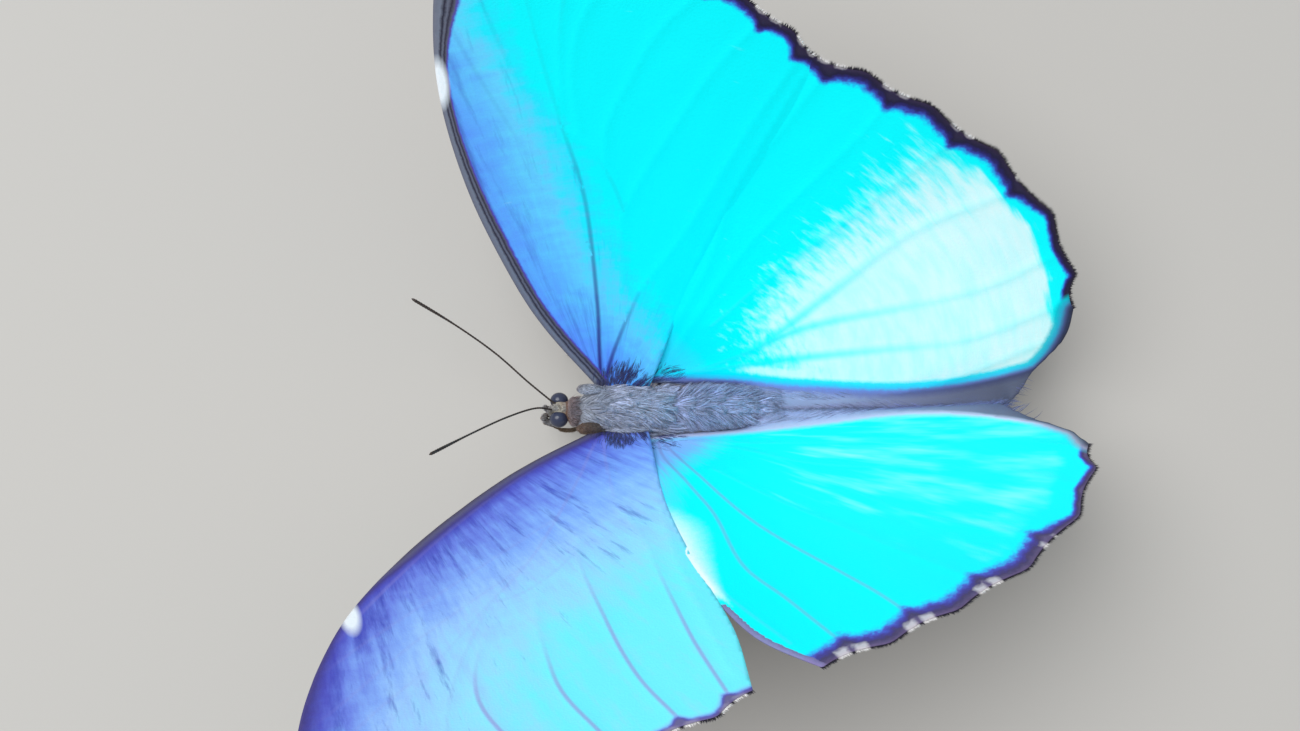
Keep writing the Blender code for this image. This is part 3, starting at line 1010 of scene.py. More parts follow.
@dataclass
class Hindwing(Wing):
    """A hindwing: rounded and scalloped, with a fold that turns down beside the abdomen."""

    fold_straight_to: float = -30.0
    fold_curve: float = 0.018
    fold_gap: float = 0.2
    fold_depth_beside: float = 5.0
    fold_closes: Pair = (14.5, 20.5)
    fold_bulge: float = 0.0
    blue_to: float = 0.4
    bend_points: int = 24
    easing_rounds: int = 14
    easing: float = 0.6
    root_hair_count: int = 150
    fold_hair_count: int = 6500

    def fold_line(self, flat: Array) -> Array:
        """How far out from the hinge the fold turns down."""
        curved = self.fold_curve * np.maximum(0.0, self.fold_straight_to - flat[:, 1]) ** 2
        return curved + self.fold_bulge * smooth_step(-21.0, -11.0, flat[:, 1])

    def place(self, flat: Array) -> Array:
        """The fold bends down round the abdomen and meets its twin under and behind it."""
        line = self.fold_line(flat)
        inward = np.maximum(line - flat[:, 0], 0)
        base = super().place(np.stack([np.maximum(flat[:, 0], line), flat[:, 1]], 1))
        behind = smooth_step(*self.fold_closes, base[:, 1])[:, None]
        wide = (np.abs(base[:, 0]) - self.fold_gap)[:, None]
        inner = self.inner_line()
        length = np.maximum(line - np.interp(flat[:, 1], inner[:, 1], inner[:, 0]), 0)[:, None]
        shallow = np.clip(0.7 * np.sqrt(np.maximum(length**2 - wide**2, 0)), 0.15 * wide, 0.5 * wide)
        t = np.linspace(0, 1, self.bend_points)[None]
        across = (1 - behind) * wide * (1 - np.cos(math.pi / 2 * t) ** 0.83) + behind * wide * t
        down = (1 - behind) * self.fold_depth_beside * np.sin(math.pi / 2 * t) ** 0.83
        down += behind * shallow * t * (1.45 - 0.45 * t)
        run = np.cumsum(np.hypot(np.diff(across, axis=1), np.diff(down, axis=1)), axis=1)
        run = np.c_[np.zeros(len(run)), run]
        for k in np.flatnonzero(inward > 0):
            base[k, 0] -= self.side.value * np.interp(inward[k], run[k], across[k])
            base[k, 2] -= np.interp(inward[k], run[k], down[k]) + max(inward[k] - run[k, -1], 0)
        return base

    def eased(self, flat: Array, places: Array, triangles: Array) -> Array:
        """Rounds the bend of the fold."""
        near = np.exp(-(((self.fold_line(flat) - flat[:, 0]) / 2.2) ** 2))[:, None]
        sides = np.concatenate([triangles[:, (0, 1)], triangles[:, (1, 2)], triangles[:, (2, 0)]])
        sides = np.unique(np.sort(sides, 1), axis=0)
        degree = np.bincount(sides.ravel(), minlength=len(places))[:, None]
        for _ in range(self.easing_rounds):
            total = np.zeros_like(places)
            np.add.at(total, sides[:, 0], places[sides[:, 1]])
            np.add.at(total, sides[:, 1], places[sides[:, 0]])
            places = places + (total / degree - places) * self.easing * near
        return places

    def relief(self, flat: Array, vein: Array) -> Array:
        """The front rises to meet the forewing that lies over it."""
        costa, _ = distance_to(flat, self.costa_line())
        met = 0.7 * smooth_step(32.0, 14.0, costa) * smooth_step(3.0, 14.0, flat[:, 0])
        return super().relief(flat, vein) + met

    def toothed(self, flat: Array) -> Array:
        """The border's edge is smooth round the rear corner of the right wing."""
        return 1 - 0.85 * self.corner(flat)

    def corner(self, flat: Array) -> Array:
        """The rear of the right wing, where the border thins and loses its pale marks."""
        near = smooth_step(-42.0, -52.0, flat[:, 1])
        return near if self.side is Side.RIGHT else 0.8 * near

    def border_width(self, flat: Array) -> Array:
        """An even dark border, thinner at the rear corner."""
        full, thinned = (1.75, 0.8) if self.side is Side.LEFT else (1.35, 0.45)
        return full * (1 - thinned * self.corner(flat))

    def costa_width(self, flat: Array) -> Array:
        """The pale strip, broad under the forewing and gone towards the tip."""
        return 7.4 - 6.6 * smooth_step(21.0, 45.0, flat[:, 0])

    def costa_place(self, flat: Array, costa: Array) -> Array:
        """The pale strip gives way to a thin dark rim where the costa is free of the forewing."""
        rim = smooth_step(38.0, 43.0, flat[:, 0]) * smooth_step(1.1, 0.5, costa)
        ratio = costa / self.costa_width(flat) + 1.1 * smooth_step(27.0, 9.0, flat[:, 0])
        return (1 - rim) * np.minimum(ratio, 1.2) + rim * 1.5

    def fold_depth(self, flat: Array) -> Array:
        """How far past the edge of the blue a point lies, round the rear corner as well."""
        rim = 0.9 - distance_to(flat, self.inner_line())[0]
        rim -= 3 * smooth_step(-46.0, -40.0, flat[:, 1])
        return np.maximum(self.fold_line(flat) - flat[:, 0] + self.blue_to, rim)

    def ground(self, flat: Array, costa: Array) -> Array:
        """Pale sky by the hinge and the costa, cyan over the rest."""
        out = np.hypot(*flat.T)
        return np.clip(out / 32 + smooth_step(4.0, 12.0, costa) * smooth_step(3.0, 14.0, out) * 0.5, 0, 1)

    def painted_sheen(self, flat: Array, margin: Array, vein: Array) -> Array:
        """A painted highlight: pale glare painted over the rear of the disc, parted by the veins and faint on
        the left.
        """
        pole = flat - np.array(self.pole)
        angle = np.degrees(np.arctan2(pole[:, 1], pole[:, 0]))
        region = smooth_step(-26.0, -58.0, angle) * smooth_step(1.6, 4.6, margin)
        region *= smooth_step(11.0, 36.0, np.hypot(*pole.T))
        region *= 1 - 0.9 * smooth_step(-1.5, 0.0, self.fold_depth(flat))
        # A painted streak of glare a little inside the blue's edge by the fold.
        edge = np.exp(-(((self.fold_depth(flat) + 2.4) / 1.3) ** 2))
        edge *= smooth_step(13.0, 22.0, np.hypot(*pole.T))
        region = np.maximum(region, 0.9 * edge * smooth_step(1.6, 4.6, margin))
        return region if self.side is Side.RIGHT else 0.3 * region

    def fold_hairs(self) -> Solid:
        """The pale silky hair of the fold beside the abdomen."""
        soft = self.wing_hairs(
            self.fold_hair_count,
            23,
            lambda flat: smooth_step(0.3, 2.0, self.fold_depth(flat)) * smooth_step(-54.0, -40.0, flat[:, 1]),
            (-0.5, -0.6),
        )
        return FOLD_HAIR.grow(soft, 24)


FORE_SHAPE = {
    "costa": [
        (0.0, 4.2), (8.0, 13.0), (16.0, 19.5), (28.5, 27.4),
        (42.3, 33.2), (56.0, 35.4), (67.0, 34.7), (72.6, 31.4),
    ],
    "base": [(-1.5, -2.8), (-1.5, 3.0)],
    "scallop": 0.45,
    "hinge_y": -1.0,
    "drop": 0.0,
    "pole": (-7.0, 0.0),
}
FORE_ENDS = [(72.6, 31.4), (69.8, 24.0), (67.0, 15.6)]
FORE_ENDS_REAR = {
    Side.LEFT: [(65.6, 7.2), (64.0, -1.2), (61.4, -8.6), (57.6, -12.8)],
    Side.RIGHT: [(64.6, 7.4), (62.3, -0.8), (59.6, -7.8), (56.4, -12.2)],
}
FORE_INNER = [(47.0, -11.8), (34.5, -8.7), (19.0, -5.4), (0.0, -3.9)]
HIND_SHAPE = {
    "costa": [
        (0.0, 1.8), (7.0, 4.8), (18.0, 4.8), (30.0, 0.8), (40.0, -4.4), (48.5, -9.0), (54.4, -15.5),
    ],
    "ends": [
        (54.4, -15.5), (51.8, -23.7), (47.7, -32.5), (41.3, -42.4), (32.3, -51.5), (22.8, -56.8),
        (17.0, -57.7),
    ],
    "base": [(-1.3, -2.0), (-1.3, 1.0)],
    "scallop": 0.85,
    "hinge_y": 4.0,
    "drop": 1.0,
    "pole": (-4.0, 4.0),
}
HIND_INNER_ROOT = [(-6.8, -31.0), (-7.0, -20.0), (-5.2, -13.0), (-3.0, -8.0), (-1.3, -2.2)]
HIND_INNER = {
    Side.LEFT: [
        (17.0, -57.7), (13.4, -57.2), (11.0, -55.4), (8.4, -53.0), (4.8, -49.8), (0.0, -46.0), (-4.8, -40.0),
    ],
    Side.RIGHT: [
        (17.0, -57.7), (13.0, -57.8), (8.8, -56.8), (5.2, -54.8), (1.8, -52.4), (-2.0, -48.6), (-5.4, -42.0),
    ],
}


def fore_veins(side: Side) -> dict[str, Vein]:
    """The forewing's veins. On the right the two main stems are inked dark, on the left the rear ones."""
    right = side is Side.RIGHT
    stem, branch = (1.0, 0.0) if right else (0.3, 0.1)
    rear = (0.0, 0.0) if right else (0.0, 0.7)
    return {
        "subcosta": Vein(
            [(1.0, 3.5), (8.0, 11.0), (16.0, 17.4), (28.5, 25.2), (40.0, 30.9), (47.0, 33.6)], 0.8, 0.2
        ),
        "radius": Vein(
            [(1.5, 3.4), (6.0, 4.6), (14.6, 6.8), (30.1, 11.8), (40.9, 17.3)], stem, 0.15 if right else 0.1
        ),
        "radius_tip": Vein([(40.9, 17.3), (52.0, 22.8), (62.0, 26.6), (71.0, 27.7)], 0.1, 0.0),
        "radius_1": Vein([(22.0, 9.1), (34.0, 19.6), (46.0, 29.6), (53.0, 34.8)], branch, 0.1),
        "radius_2": Vein([(32.0, 12.6), (46.0, 24.2), (57.0, 31.4), (62.0, 35.0)], branch, 0.1),
        "radius_4": Vein([(50.0, 21.9), (60.0, 28.8), (69.5, 33.2)], branch, 0.1),
        "media_1": Vein([(40.0, 16.9), (54.0, 19.9), (68.2, 19.8)], branch, 0.1),
        "cross": Vein([(40.0, 16.9), (38.0, 13.0), (34.0, 9.2), (29.7, 6.4)], branch, 0.1),
        "media_2": Vein([(38.6, 14.2), (48.0, 17.3), (57.0, 16.9), (65.6, 11.7)], *rear),
        "media_3": Vein([(35.0, 10.2), (41.4, 11.4), (48.6, 10.0), (56.0, 7.9), (63.2, 3.4)], *rear),
        "cubitus": Vein([(1.5, 2.6), (5.6, 2.6), (11.0, 2.2), (17.7, 1.4)], stem, 0.1),
        "cubitus_1": Vein(
            [(12.0, 2.1), (20.0, 4.3), (29.7, 6.3), (43.7, 3.0), (53.7, -0.3), (60.8, -4.2)], *rear
        ),
        "cubitus_2": Vein([(17.7, 1.4), (28.6, -2.3), (38.4, -4.5), (49.0, -7.1), (57.9, -10.0)], *rear),
        "anal": Vein(
            [(1.0, -1.2), (5.1, -3.1), (13.2, -4.2), (19.7, -4.6), (34.0, -6.4), (54.0, -10.6)], 0.0, 0.0
        ),
    }


def hind_veins(side: Side) -> dict[str, Vein]:
    """The hindwing's veins. The front two show as grey lines on the left."""
    ink = (0.5, 0.35) if side is Side.LEFT else (0.0, 0.0)
    return {
        "subcosta": Vein(
            [(1.0, 0.6), (8.0, 2.6), (18.0, 2.0), (30.0, -1.6), (40.0, -6.2), (50.0, -12.6)], 0.2, 0.1
        ),
        "radius": Vein(
            [
                (1.0, -0.1), (7.0, -0.8), (15.3, -3.8), (23.0, -6.5), (34.4, -8.9), (42.2, -13.6),
                (51.8, -19.0),
            ],
            *ink,
        ),
        "media_1": Vein([(3.0, -1.2), (13.0, -5.3), (26.2, -12.0), (41.1, -23.0), (48.8, -27.6)], *ink),
        "media_2": Vein([(11.5, -7.4), (20.0, -14.6), (31.0, -25.2), (43.2, -36.5)], 0.05, 0.0),
        "media_3": Vein(
            [(1.0, -2.2), (4.2, -8.6), (8.6, -15.2), (18.4, -24.2), (28.0, -33.0), (35.6, -45.8)], 0.05, 0.0
        ),
        "cubitus_1": Vein(
            [(7.0, -13.2), (11.4, -20.5), (15.6, -33.1), (20.0, -45.3), (26.1, -53.6)], 0.05, 0.0
        ),
        "cubitus_2": Vein([(2.6, -6.2), (5.0, -16.0), (8.2, -32.0), (11.2, -45.0), (18.4, -57.2)], 0.05, 0.0),
        "anal": Vein([(0.4, -2.6), (-1.6, -14.0), (-1.4, -28.0), (2.4, -41.0), (10.6, -54.4)], 0.1, 0.0),
    }


def make_wings() -> list[Wing]:
    """The four wings, each side at its own angles."""
    wings: list[Wing] = []
    poses = {
        Side.LEFT: {"dihedral": 51.2, "incidence": 1.7, "dish": 0.0013},
        Side.RIGHT: {"dihedral": 49.7, "incidence": 1.0, "dish": 0.0002},
    }
    sweeps = {Side.LEFT: (-2.1, -2.5), Side.RIGHT: (-13.9, -2.7)}
    marks = {Side.LEFT: (0.5, 1.1), Side.RIGHT: (0.3, 0.3)}
    curves = {Side.LEFT: 0.018, Side.RIGHT: 0.01}
    for side in Side:
        fore, hind = sweeps[side]
        name = f"forewing_{side.word}"
        wings.append(
            Forewing(
                side,
                name,
                veins=fore_veins(side),
                sweep=fore,
                mark_depth=marks[side][0],
                ends=FORE_ENDS + FORE_ENDS_REAR[side],
                inner=FORE_ENDS_REAR[side][-1:] + FORE_INNER,
                grain=(-40.0, 55.0, 1.9) if side is Side.LEFT else None,
                spot_turn=-16.0 if side is Side.LEFT else 14.0,
                rear_bend=0.2 if side is Side.LEFT else 0.34,
                rear_free=(38.0, 50.0) if side is Side.LEFT else (57.0, 60.0),
                **FORE_SHAPE,
                **poses[side],
            )
        )
        name = f"hindwing_{side.word}"
        wings.append(
            Hindwing(
                side,
                name,
                veins=hind_veins(side),
                sweep=hind,
                mark_depth=marks[side][1],
                fold_curve=curves[side],
                fold_bulge=0.0 if side is Side.LEFT else 0.6,
                inner=HIND_INNER[side] + HIND_INNER_ROOT,
                **HIND_SHAPE,
                **poses[side],
            )
        )
    return wings


# ---------------------------------------------------------------- finishes


@dataclass(frozen=True)
class Finish:
    """What every finish shares: a named material made once."""

    name: str

    def material(self) -> bpy.types.Material:
        """The finish as a material."""
        made = bpy.data.materials.get(self.name)
        if made is None:
            made = bpy.data.materials.new(self.name)
            made.use_nodes = True
            made.node_tree.nodes.clear()
            shader = add_node(made.node_tree, "BsdfPrincipled", self.dress(made.node_tree))
            add_node(made.node_tree, "OutputMaterial", {"Surface": shader}, None)
        return made

    def dress(self, tree: Tree) -> Inputs:
        """What the finish gives its shader."""
        raise NotImplementedError

    def painted(self, tree: Tree, colour: Socket, layers: list[tuple]) -> Socket:
        """Each layer's colour laid by its share over all before it."""
        for share, tint in layers:
            colour = add_node(tree, "Mix", {0: share, 6: colour, 7: tint}, 2, data_type="RGBA")
        return colour


@dataclass(frozen=True)
class BlueScales(Finish):
    """Morpho ground scales: ridged chitin in rows of overlapping plates, blue by interference.

    The eye sees a silky, almost pigment-free blue that streaks along the veins, over a matt
    brown-black where the ridges are missing. Scale rows are about 0.1 mm apart, drawn 0.3 mm apart.
    """

    ground: Stops
    border: Stops
    costa: Stops
    fold: Stops
    vein: str
    fleck_share: float
    streak_depth: float
    rank_depth: float
    vein_half: float
    mark_share: float
    rank: Pair
    sheen_streaks: Pair
    painted_sheen_share: float
    fleck: str = "3A43B0"
    # The colour of the painted highlight's pale glare.
    pale: str = "F4FFFE"
    spot: str = "F4FAFF"
    mark: str = "D6D2D8"
    streak: Pair = (30.0, 0.11)
    rub: Pair = (26.0, 0.075)
    row_spacing: float = 0.3

    def dress(self, tree: Tree) -> Inputs:
        """Blue, painted highlight, flecks, veins, borders, spot and pale marks, each laid over the last."""
        lines = add_node(tree, "Attribute", (), 1, attribute_name="lines")
        vein, ink, spot = add_node(tree, "SeparateXYZ", (lines,), None)
        fan = add_node(tree, "Attribute", (), 1, attribute_name="fan")
        _, outward, mark = add_node(tree, "SeparateXYZ", (fan,), None)
        plan = add_node(tree, "Attribute", (), 1, attribute_name="plan")
        ground = place = add_node(tree, "Attribute", (), 2, attribute_name="ground")
        streak = self.streaks(tree, fan, self.streak, 4.0, 0.65)
        # Patches across the streaks, where whole rows of scales lie at another angle.
        rank = self.streaks(tree, fan, self.rank, 3.0, 0.55)
        for wave, depth in ((streak, self.streak_depth), (rank, self.rank_depth)):
            swing = add_node(tree, "Math", (wave, 2 * depth, -depth), operation="MULTIPLY_ADD")
            place = add_node(tree, "Math", (place, swing), operation="ADD")
        blue = add_node(tree, "ValToRGB", (place,), stops=self.ground)
        # The fine streaks of the painted highlight.
        sheen_streaks = self.streaks(tree, fan, self.sheen_streaks, 3.0, 0.5)
        # Dark flecks where scales are rubbed.
        worn = self.streaks(tree, fan, self.rub, 5.0, 0.66)
        worn = add_node(tree, "Math", (ground, -0.2, worn), operation="MULTIPLY_ADD")
        flecked = add_node(tree, "MapRange", (worn, 0.47, 0.64, 0.0, self.fleck_share))
        # Veins: a thin line that fades outwards.
        thin = (vein, self.vein_half, 0.05, 0.0, 1.0)
        line = add_node(tree, "MapRange", thin, interpolation_type="SMOOTHSTEP")
        line = add_node(tree, "Math", (line, ink), operation="MULTIPLY")
        # Edges are ragged by a scale or two.
        ragged = add_node(tree, "TexNoise", {"Vector": plan, "Scale": 0.9, "Detail": 4.0, "Roughness": 0.65})
        white = add_node(tree, "MapRange", (spot, 1.2, 0.6, 0.0, 0.96))
        frayed = add_node(tree, "Math", (ragged, 0.9, mark), operation="MULTIPLY_ADD")
        marked = add_node(tree, "MapRange", (frayed, 1.55, 1.0, 0.0, self.mark_share))
        layers = [
            # Painted highlight: pale glare laid over the blue, in streaks.
            (self.painted_sheen(tree, sheen_streaks, rank, vein, outward), linear(self.pale)),
            (flecked, linear(self.fleck)),
            (line, linear(self.vein)),
            *self.borders(tree, ragged, plan),
            (white, linear(self.spot)),
            (marked, linear(self.mark)),
        ]
        rows = add_node(tree, "TexVoronoi", {"Vector": plan, "Scale": 1 / self.row_spacing})
        height = add_node(tree, "Math", (streak, 0.8, rows), operation="MULTIPLY_ADD")
        return {
            "Base Color": self.painted(tree, blue, layers),
            "Normal": add_node(tree, "Bump", {"Strength": 0.35, "Distance": 0.05 * MM, "Height": height}),
            "Roughness": 0.5,
            "Specular IOR Level": 0.12,
        }

    def streaks(self, tree: Tree, fan: Socket, size: Pair, detail: float, roughness: float) -> Socket:
        """Noise drawn out along the veins: so many changes to a turn, and to a millimetre outwards."""
        drawn = add_node(tree, "VectorMath", (fan, (*size, 0.0)), operation="MULTIPLY")
        inputs = {"Vector": drawn, "Scale": 1.0, "Detail": detail, "Roughness": roughness}
        return add_node(tree, "TexNoise", inputs)

    def painted_sheen(self, tree: Tree, sheen_streaks: Socket, rank: Socket, vein: Socket, outward: Socket) -> Socket:
        """How much painted highlight shows, in fine streaks that break up at its edge.

        Args:
            tree: the material's node tree.
            sheen_streaks: the fine streaks of the painted highlight.
            rank: the patches in which whole rows lie at another angle.
            vein: the distance from the nearest vein.
            outward: the distance from where the streaks spring.

        Returns:
            The painted highlight's share over the blue.
        """
        both = add_node(tree, "Math", (rank, 0.6, sheen_streaks), operation="MULTIPLY_ADD")
        strength = add_node(tree, "Attribute", (), 2, attribute_name="painted_sheen")
        strength = add_node(tree, "Math", (both, 0.9, strength), operation="MULTIPLY_ADD")
        # The painted highlight's share, rising where the streaks and its painted strength together pass a
        # threshold.
        rise = (strength, 0.92, 1.55, 0.0, self.painted_sheen_share)
        silky = add_node(tree, "MapRange", rise, interpolation_type="SMOOTHSTEP")
        beside = add_node(tree, "MapRange", (vein, 0.0, 1.4, 1.0, 0.0), interpolation_type="SMOOTHSTEP")
        fading = add_node(tree, "MapRange", (outward, 22.0, 46.0, -0.9, -0.2))
        parted = add_node(tree, "Math", (beside, fading, 1.0), operation="MULTIPLY_ADD")
        uneven = add_node(tree, "MapRange", (rank, 0.35, 0.65, 0.8, 1.0))
        for share in (parted, uneven):
            silky = add_node(tree, "Math", (silky, share), operation="MULTIPLY")
        return silky

    def borders(self, tree: Tree, ragged: Socket, plan: Socket) -> list[tuple]:
        """The outer border, the front edge and the fold.

        Args:
            tree: the material's node tree.
            ragged: what moves their edges.
            plan: the place over the flat wing.

        Returns:
            Their shares and colours.
        """
        edges = add_node(tree, "Attribute", (), 1, attribute_name="edges")
        border, costa, fold = add_node(tree, "SeparateXYZ", (edges,), None)
        layers = []
        for place, stops, run, depth, start in (
            (border, self.border, 3.0, 0.15, 0.0),
            (costa, self.costa, 2.0, 0.05, 0.0),
            (fold, self.fold, 12.0, 0.025, 0.25),
        ):
            moved = add_node(tree, "Math", (ragged, 2 * depth, start - depth), operation="MULTIPLY_ADD")
            moved = add_node(tree, "Math", (place, 1 / run, moved), operation="MULTIPLY_ADD")
            tint, cover = add_node(tree, "ValToRGB", (moved,), None, stops=stops)
            layers.append((cover, tint))
        # The fold darkens towards the rear of the wing, and more at its corner.
        forward = add_node(tree, "SeparateXYZ", (plan,), 1)
        rearward = add_node(tree, "MapRange", (forward, -26.0, -50.0, 0.0, 1.0))
        deep = add_node(tree, "MapRange", (fold, -0.6, 0.4, 0.0, -0.68))
        kept = add_node(tree, "Math", (rearward, deep, 1.0), operation="MULTIPLY_ADD")
        corner = add_node(tree, "MapRange", (forward, -50.0, -57.5, 1.0, 0.55))
        kept = add_node(tree, "Math", (kept, corner), operation="MULTIPLY")
        cover, tint = layers.pop()
        shaded = add_node(tree, "VectorMath", {0: tint, "Scale": kept}, operation="SCALE")
        return [*layers, (cover, shaded)]


@dataclass(frozen=True)
class Eyespot:
    """A ringed eyespot: its middle and radius over the flat wing."""

    middle: Pair
    radius: float


@dataclass(frozen=True)
class BrownScales(Finish):
    """Pigmented underside scales: melanin browns with ringed eyespots, matt and powdery.

    Scale rows are about 0.1 mm apart, drawn 0.3 mm apart.
    """

    eyespots: tuple[Eyespot, ...]
    bars: tuple[tuple[float, float, float, float], ...]
    band_run: float = 16.0
    halo: float = 1.35
    bar: str = "B5A98C"
    vein: str = "2B211A"
    row_spacing: float = 0.3125

    def dress(self, tree: Tree) -> Inputs:
        """Brown ground, clouded; submarginal bands, pale bars, veins and eyespots."""
        plan = add_node(tree, "Attribute", (), 1, attribute_name="plan")
        u, v, margin = add_node(tree, "SeparateXYZ", (plan,), None)
        flat = add_node(tree, "CombineXYZ", (u, v))
        cloud = add_node(tree, "TexNoise", {"Vector": flat, "Scale": 0.16, "Detail": 5.0, "Roughness": 0.6})
        brown = add_node(tree, "ValToRGB", (cloud,), stops=BROWN_GROUND)
        wave = add_node(tree, "TexNoise", {"Vector": flat, "Scale": 0.35, "Detail": 1.0})
        waved = add_node(tree, "Math", (wave, 1.1, margin), operation="MULTIPLY_ADD")
        waved = add_node(tree, "Math", (waved, 1 / self.band_run), operation="MULTIPLY")
        tint, cover = add_node(tree, "ValToRGB", (waved,), None, stops=BROWN_BANDS)
        layers = [(cover, tint)]
        for *middle, length, width in self.bars:
            bar = add_node(tree, "VectorMath", (flat, (*middle, 0.0)), operation="SUBTRACT")
            bar = add_node(tree, "VectorMath", (bar, (1 / width, 1 / length, 0.0)), operation="MULTIPLY")
            far = add_node(tree, "VectorMath", (bar,), 1, operation="LENGTH")
            layers.append((add_node(tree, "MapRange", (far, 1.15, 0.75, 0.0, 0.75)), linear(self.bar)))
        lines = add_node(tree, "Attribute", (), 1, attribute_name="lines")
        vein = add_node(tree, "SeparateXYZ", (lines,))
        layers.append((add_node(tree, "MapRange", (vein, 0.3, 0.1, 0.0, 0.5)), linear(self.vein)))
        for spot in self.eyespots:
            far = add_node(tree, "VectorMath", (flat, (*spot.middle, 0.0)), 1, operation="DISTANCE")
            ring = add_node(tree, "Math", (far, 1 / (spot.radius * self.halo)), operation="MULTIPLY")
            tint, cover = add_node(tree, "ValToRGB", (ring,), None, stops=EYESPOT_RINGS)
            layers.append((cover, tint))
        colour = self.painted(tree, brown, layers)
        powder = add_node(tree, "TexNoise", {"Vector": flat, "Scale": 4.0, "Detail": 2.0})
        powder = add_node(tree, "MapRange", (powder, 0.3, 0.7, 0.82, 1.15))
        rows = add_node(tree, "TexVoronoi", {"Vector": flat, "Scale": 1 / self.row_spacing})
        return {
            "Base Color": add_node(tree, "VectorMath", {0: colour, "Scale": powder}, operation="SCALE"),
            "Normal": add_node(tree, "Bump", {"Strength": 0.4, "Distance": 0.05 * MM, "Height": rows}),
            "Roughness": 0.7,
            "Specular IOR Level": 0.2,
        }


BROWN_GROUND = [(0.3, "3E2F24"), (0.48, "5A4633"), (0.62, "6E5A43"), (0.75, "4A392B")]
BROWN_BANDS = [
    (0.0, "2E241D"), (0.07, "2E241D"), (0.085, "A69B8C", 0.9), (0.12, "8E8478", 0.9), (0.135, "33271F", 0.95),
    (0.18, "3A2C22", 0.95), (0.2, "9C7B4E", 0.9), (0.225, "9C7B4E", 0.9), (0.245, "3A2C22", 0.8),
    (0.36, "4B3B2D", 0.3), (0.42, "4B3B2D", 0.0),
]
EYESPOT_RINGS = [
    (0.0, "DDE8F2"), (0.12, "DDE8F2"), (0.17, "2A3A66"), (0.3, "12100F"), (0.58, "12100F"), (0.62, "D8A83E"),
    (0.74, "C8922F"), (0.79, "2A1D14", 0.9), (0.88, "2A1D14", 0.6), (1.0, "4A392B", 0.0),
]
RIGHT_BORDER = [
    (0.0, "322A44"), (0.16, "261F3C"), (0.28, "30286A"), (0.38, "4038B0", 0.95), (0.48, "2E7BEB", 0.6),
    (0.6, "00F0FF", 0.0),
]
BORDERS = {
    "forewing_left": [
        (0.0, "6A6290"), (0.16, "6058A0"), (0.28, "5E56B4", 0.95), (0.4, "7C80DC", 0.8),
        (0.62, "8CBCFA", 0.4), (0.9, "8CE0FE", 0.0),
    ],
    "hindwing_left": [
        (0.0, "64587E"), (0.16, "4A3F66"), (0.28, "4A4094"), (0.38, "524AC4", 0.95), (0.48, "4684F0", 0.6),
        (0.62, "20E8FF", 0.0),
    ],
    "forewing_right": RIGHT_BORDER,
    "hindwing_right": RIGHT_BORDER,
}
# Each wing's run of blues. The blue is the wings' own colour; the differences between the four runs are
# painted reflection, standing in for the shift of the iridescent blue with each wing's angle to the light and
# camera.
GROUNDS = {
    "forewing_left": [
        (0.0, "5C64CC"), (0.14, "7086E4"), (0.32, "86ACF6"), (0.5, "9CC8FC"), (0.72, "98DEFD"),
        (1.0, "74F0FE"),
    ],
    "forewing_right": [(0.0, "6098FA"), (0.25, "62B4FC"), (0.5, "66D4FD"), (0.7, "20EBFF"), (0.85, "00FAFF")],
    "hindwing_left": [(0.0, "98AEF0"), (0.25, "86BCF8"), (0.5, "56E2FC"), (0.8, "08F6FF")],
    "hindwing_right": [(0.0, "40E0FF"), (0.5, "00F8FF"), (1.0, "00FCFF")],
}
COSTAS = {
    "forewing_left": [
        (0.0, "4C475E"), (0.14, "5C587C"), (0.3, "453D80", 0.95), (0.5, "4A46B4", 0.6), (0.8, "5B62D0", 0.0),
    ],
    "forewing_right": [
        (0.0, "6E7180"), (0.16, "777C8C"), (0.24, "2B2838"), (0.31, "6A6D7E"), (0.37, "34303F"),
        (0.43, "5A5B6C"), (0.49, "5A3FA8", 0.95), (0.56, "4E7BF0", 0.0),
    ],
    "hindwing_left": [
        (0.0, "C4C0CA"), (0.08, "E6E8EA"), (0.26, "F2FAFA"), (0.4, "D4F8FC", 0.6), (0.58, "90E8FC", 0.0),
        (0.64, "8A80B4", 0.0), (0.68, "7A709C"), (0.84, "9088C0", 0.9), (0.97, "4E9BF0", 0.0),
    ],
    "hindwing_right": [
        (0.0, "8FDCF4", 0.8), (0.3, "60E8FC", 0.0), (0.64, "6C6490", 0.0), (0.68, "5E5684"),
        (0.84, "7A74A8", 0.9), (0.97, "4E7BF0", 0.0),
    ],
}
FOLDS = {
    Side.LEFT: [
        (0.1, "20F0FF", 0.0), (0.16, "9FD8FC", 0.6), (0.21, "C9C6E6", 0.95), (0.3, "A4AFD4"), (0.5, "868FBE"),
        (1.0, "60689A"),
    ],
    Side.RIGHT: [
        (0.08, "00F4FF", 0.0), (0.14, "00ECFF", 0.95), (0.2, "40D0FC"), (0.25, "7C92DC"), (0.3, "8088C0"),
        (0.38, "98A4C8"), (1.0, "707CA4"),
    ],
}
NO_FOLD = [(0.0, "000000", 0.0), (1.0, "000000", 0.0)]


def blue_finish(wing: Wing) -> BlueScales:
    """The upper finish of one wing."""
    hind = isinstance(wing, Hindwing)
    left = wing.side is Side.LEFT
    return BlueScales(
        f"{wing.name}_blue_scales",
        ground=GROUNDS[wing.name],
        border=BORDERS[wing.name],
        costa=COSTAS[wing.name],
        fold=FOLDS[wing.side] if hind else NO_FOLD,
        vein="8480BC" if hind else ("9A92D6" if left else "322C7C"),
        fleck_share=0.0 if hind else (0.75 if left else 0.35),
        streak_depth=0.26 if left else 0.14,
        rank_depth=0.0 if hind else (0.08 if left else 0.2),
        vein_half=0.42 if left or hind else 0.5,
        mark_share=(0.78 if hind else 0.2) if left else 0.4,
        rank=(9.0, 0.05) if left and hind else (7.0, 0.55),
        # The painted highlight's streaks and its strongest share, weaker on the left.
        sheen_streaks=(20.0, 0.08) if left else (12.0, 1.2),
        painted_sheen_share=0.52 if left else 0.93,
    )


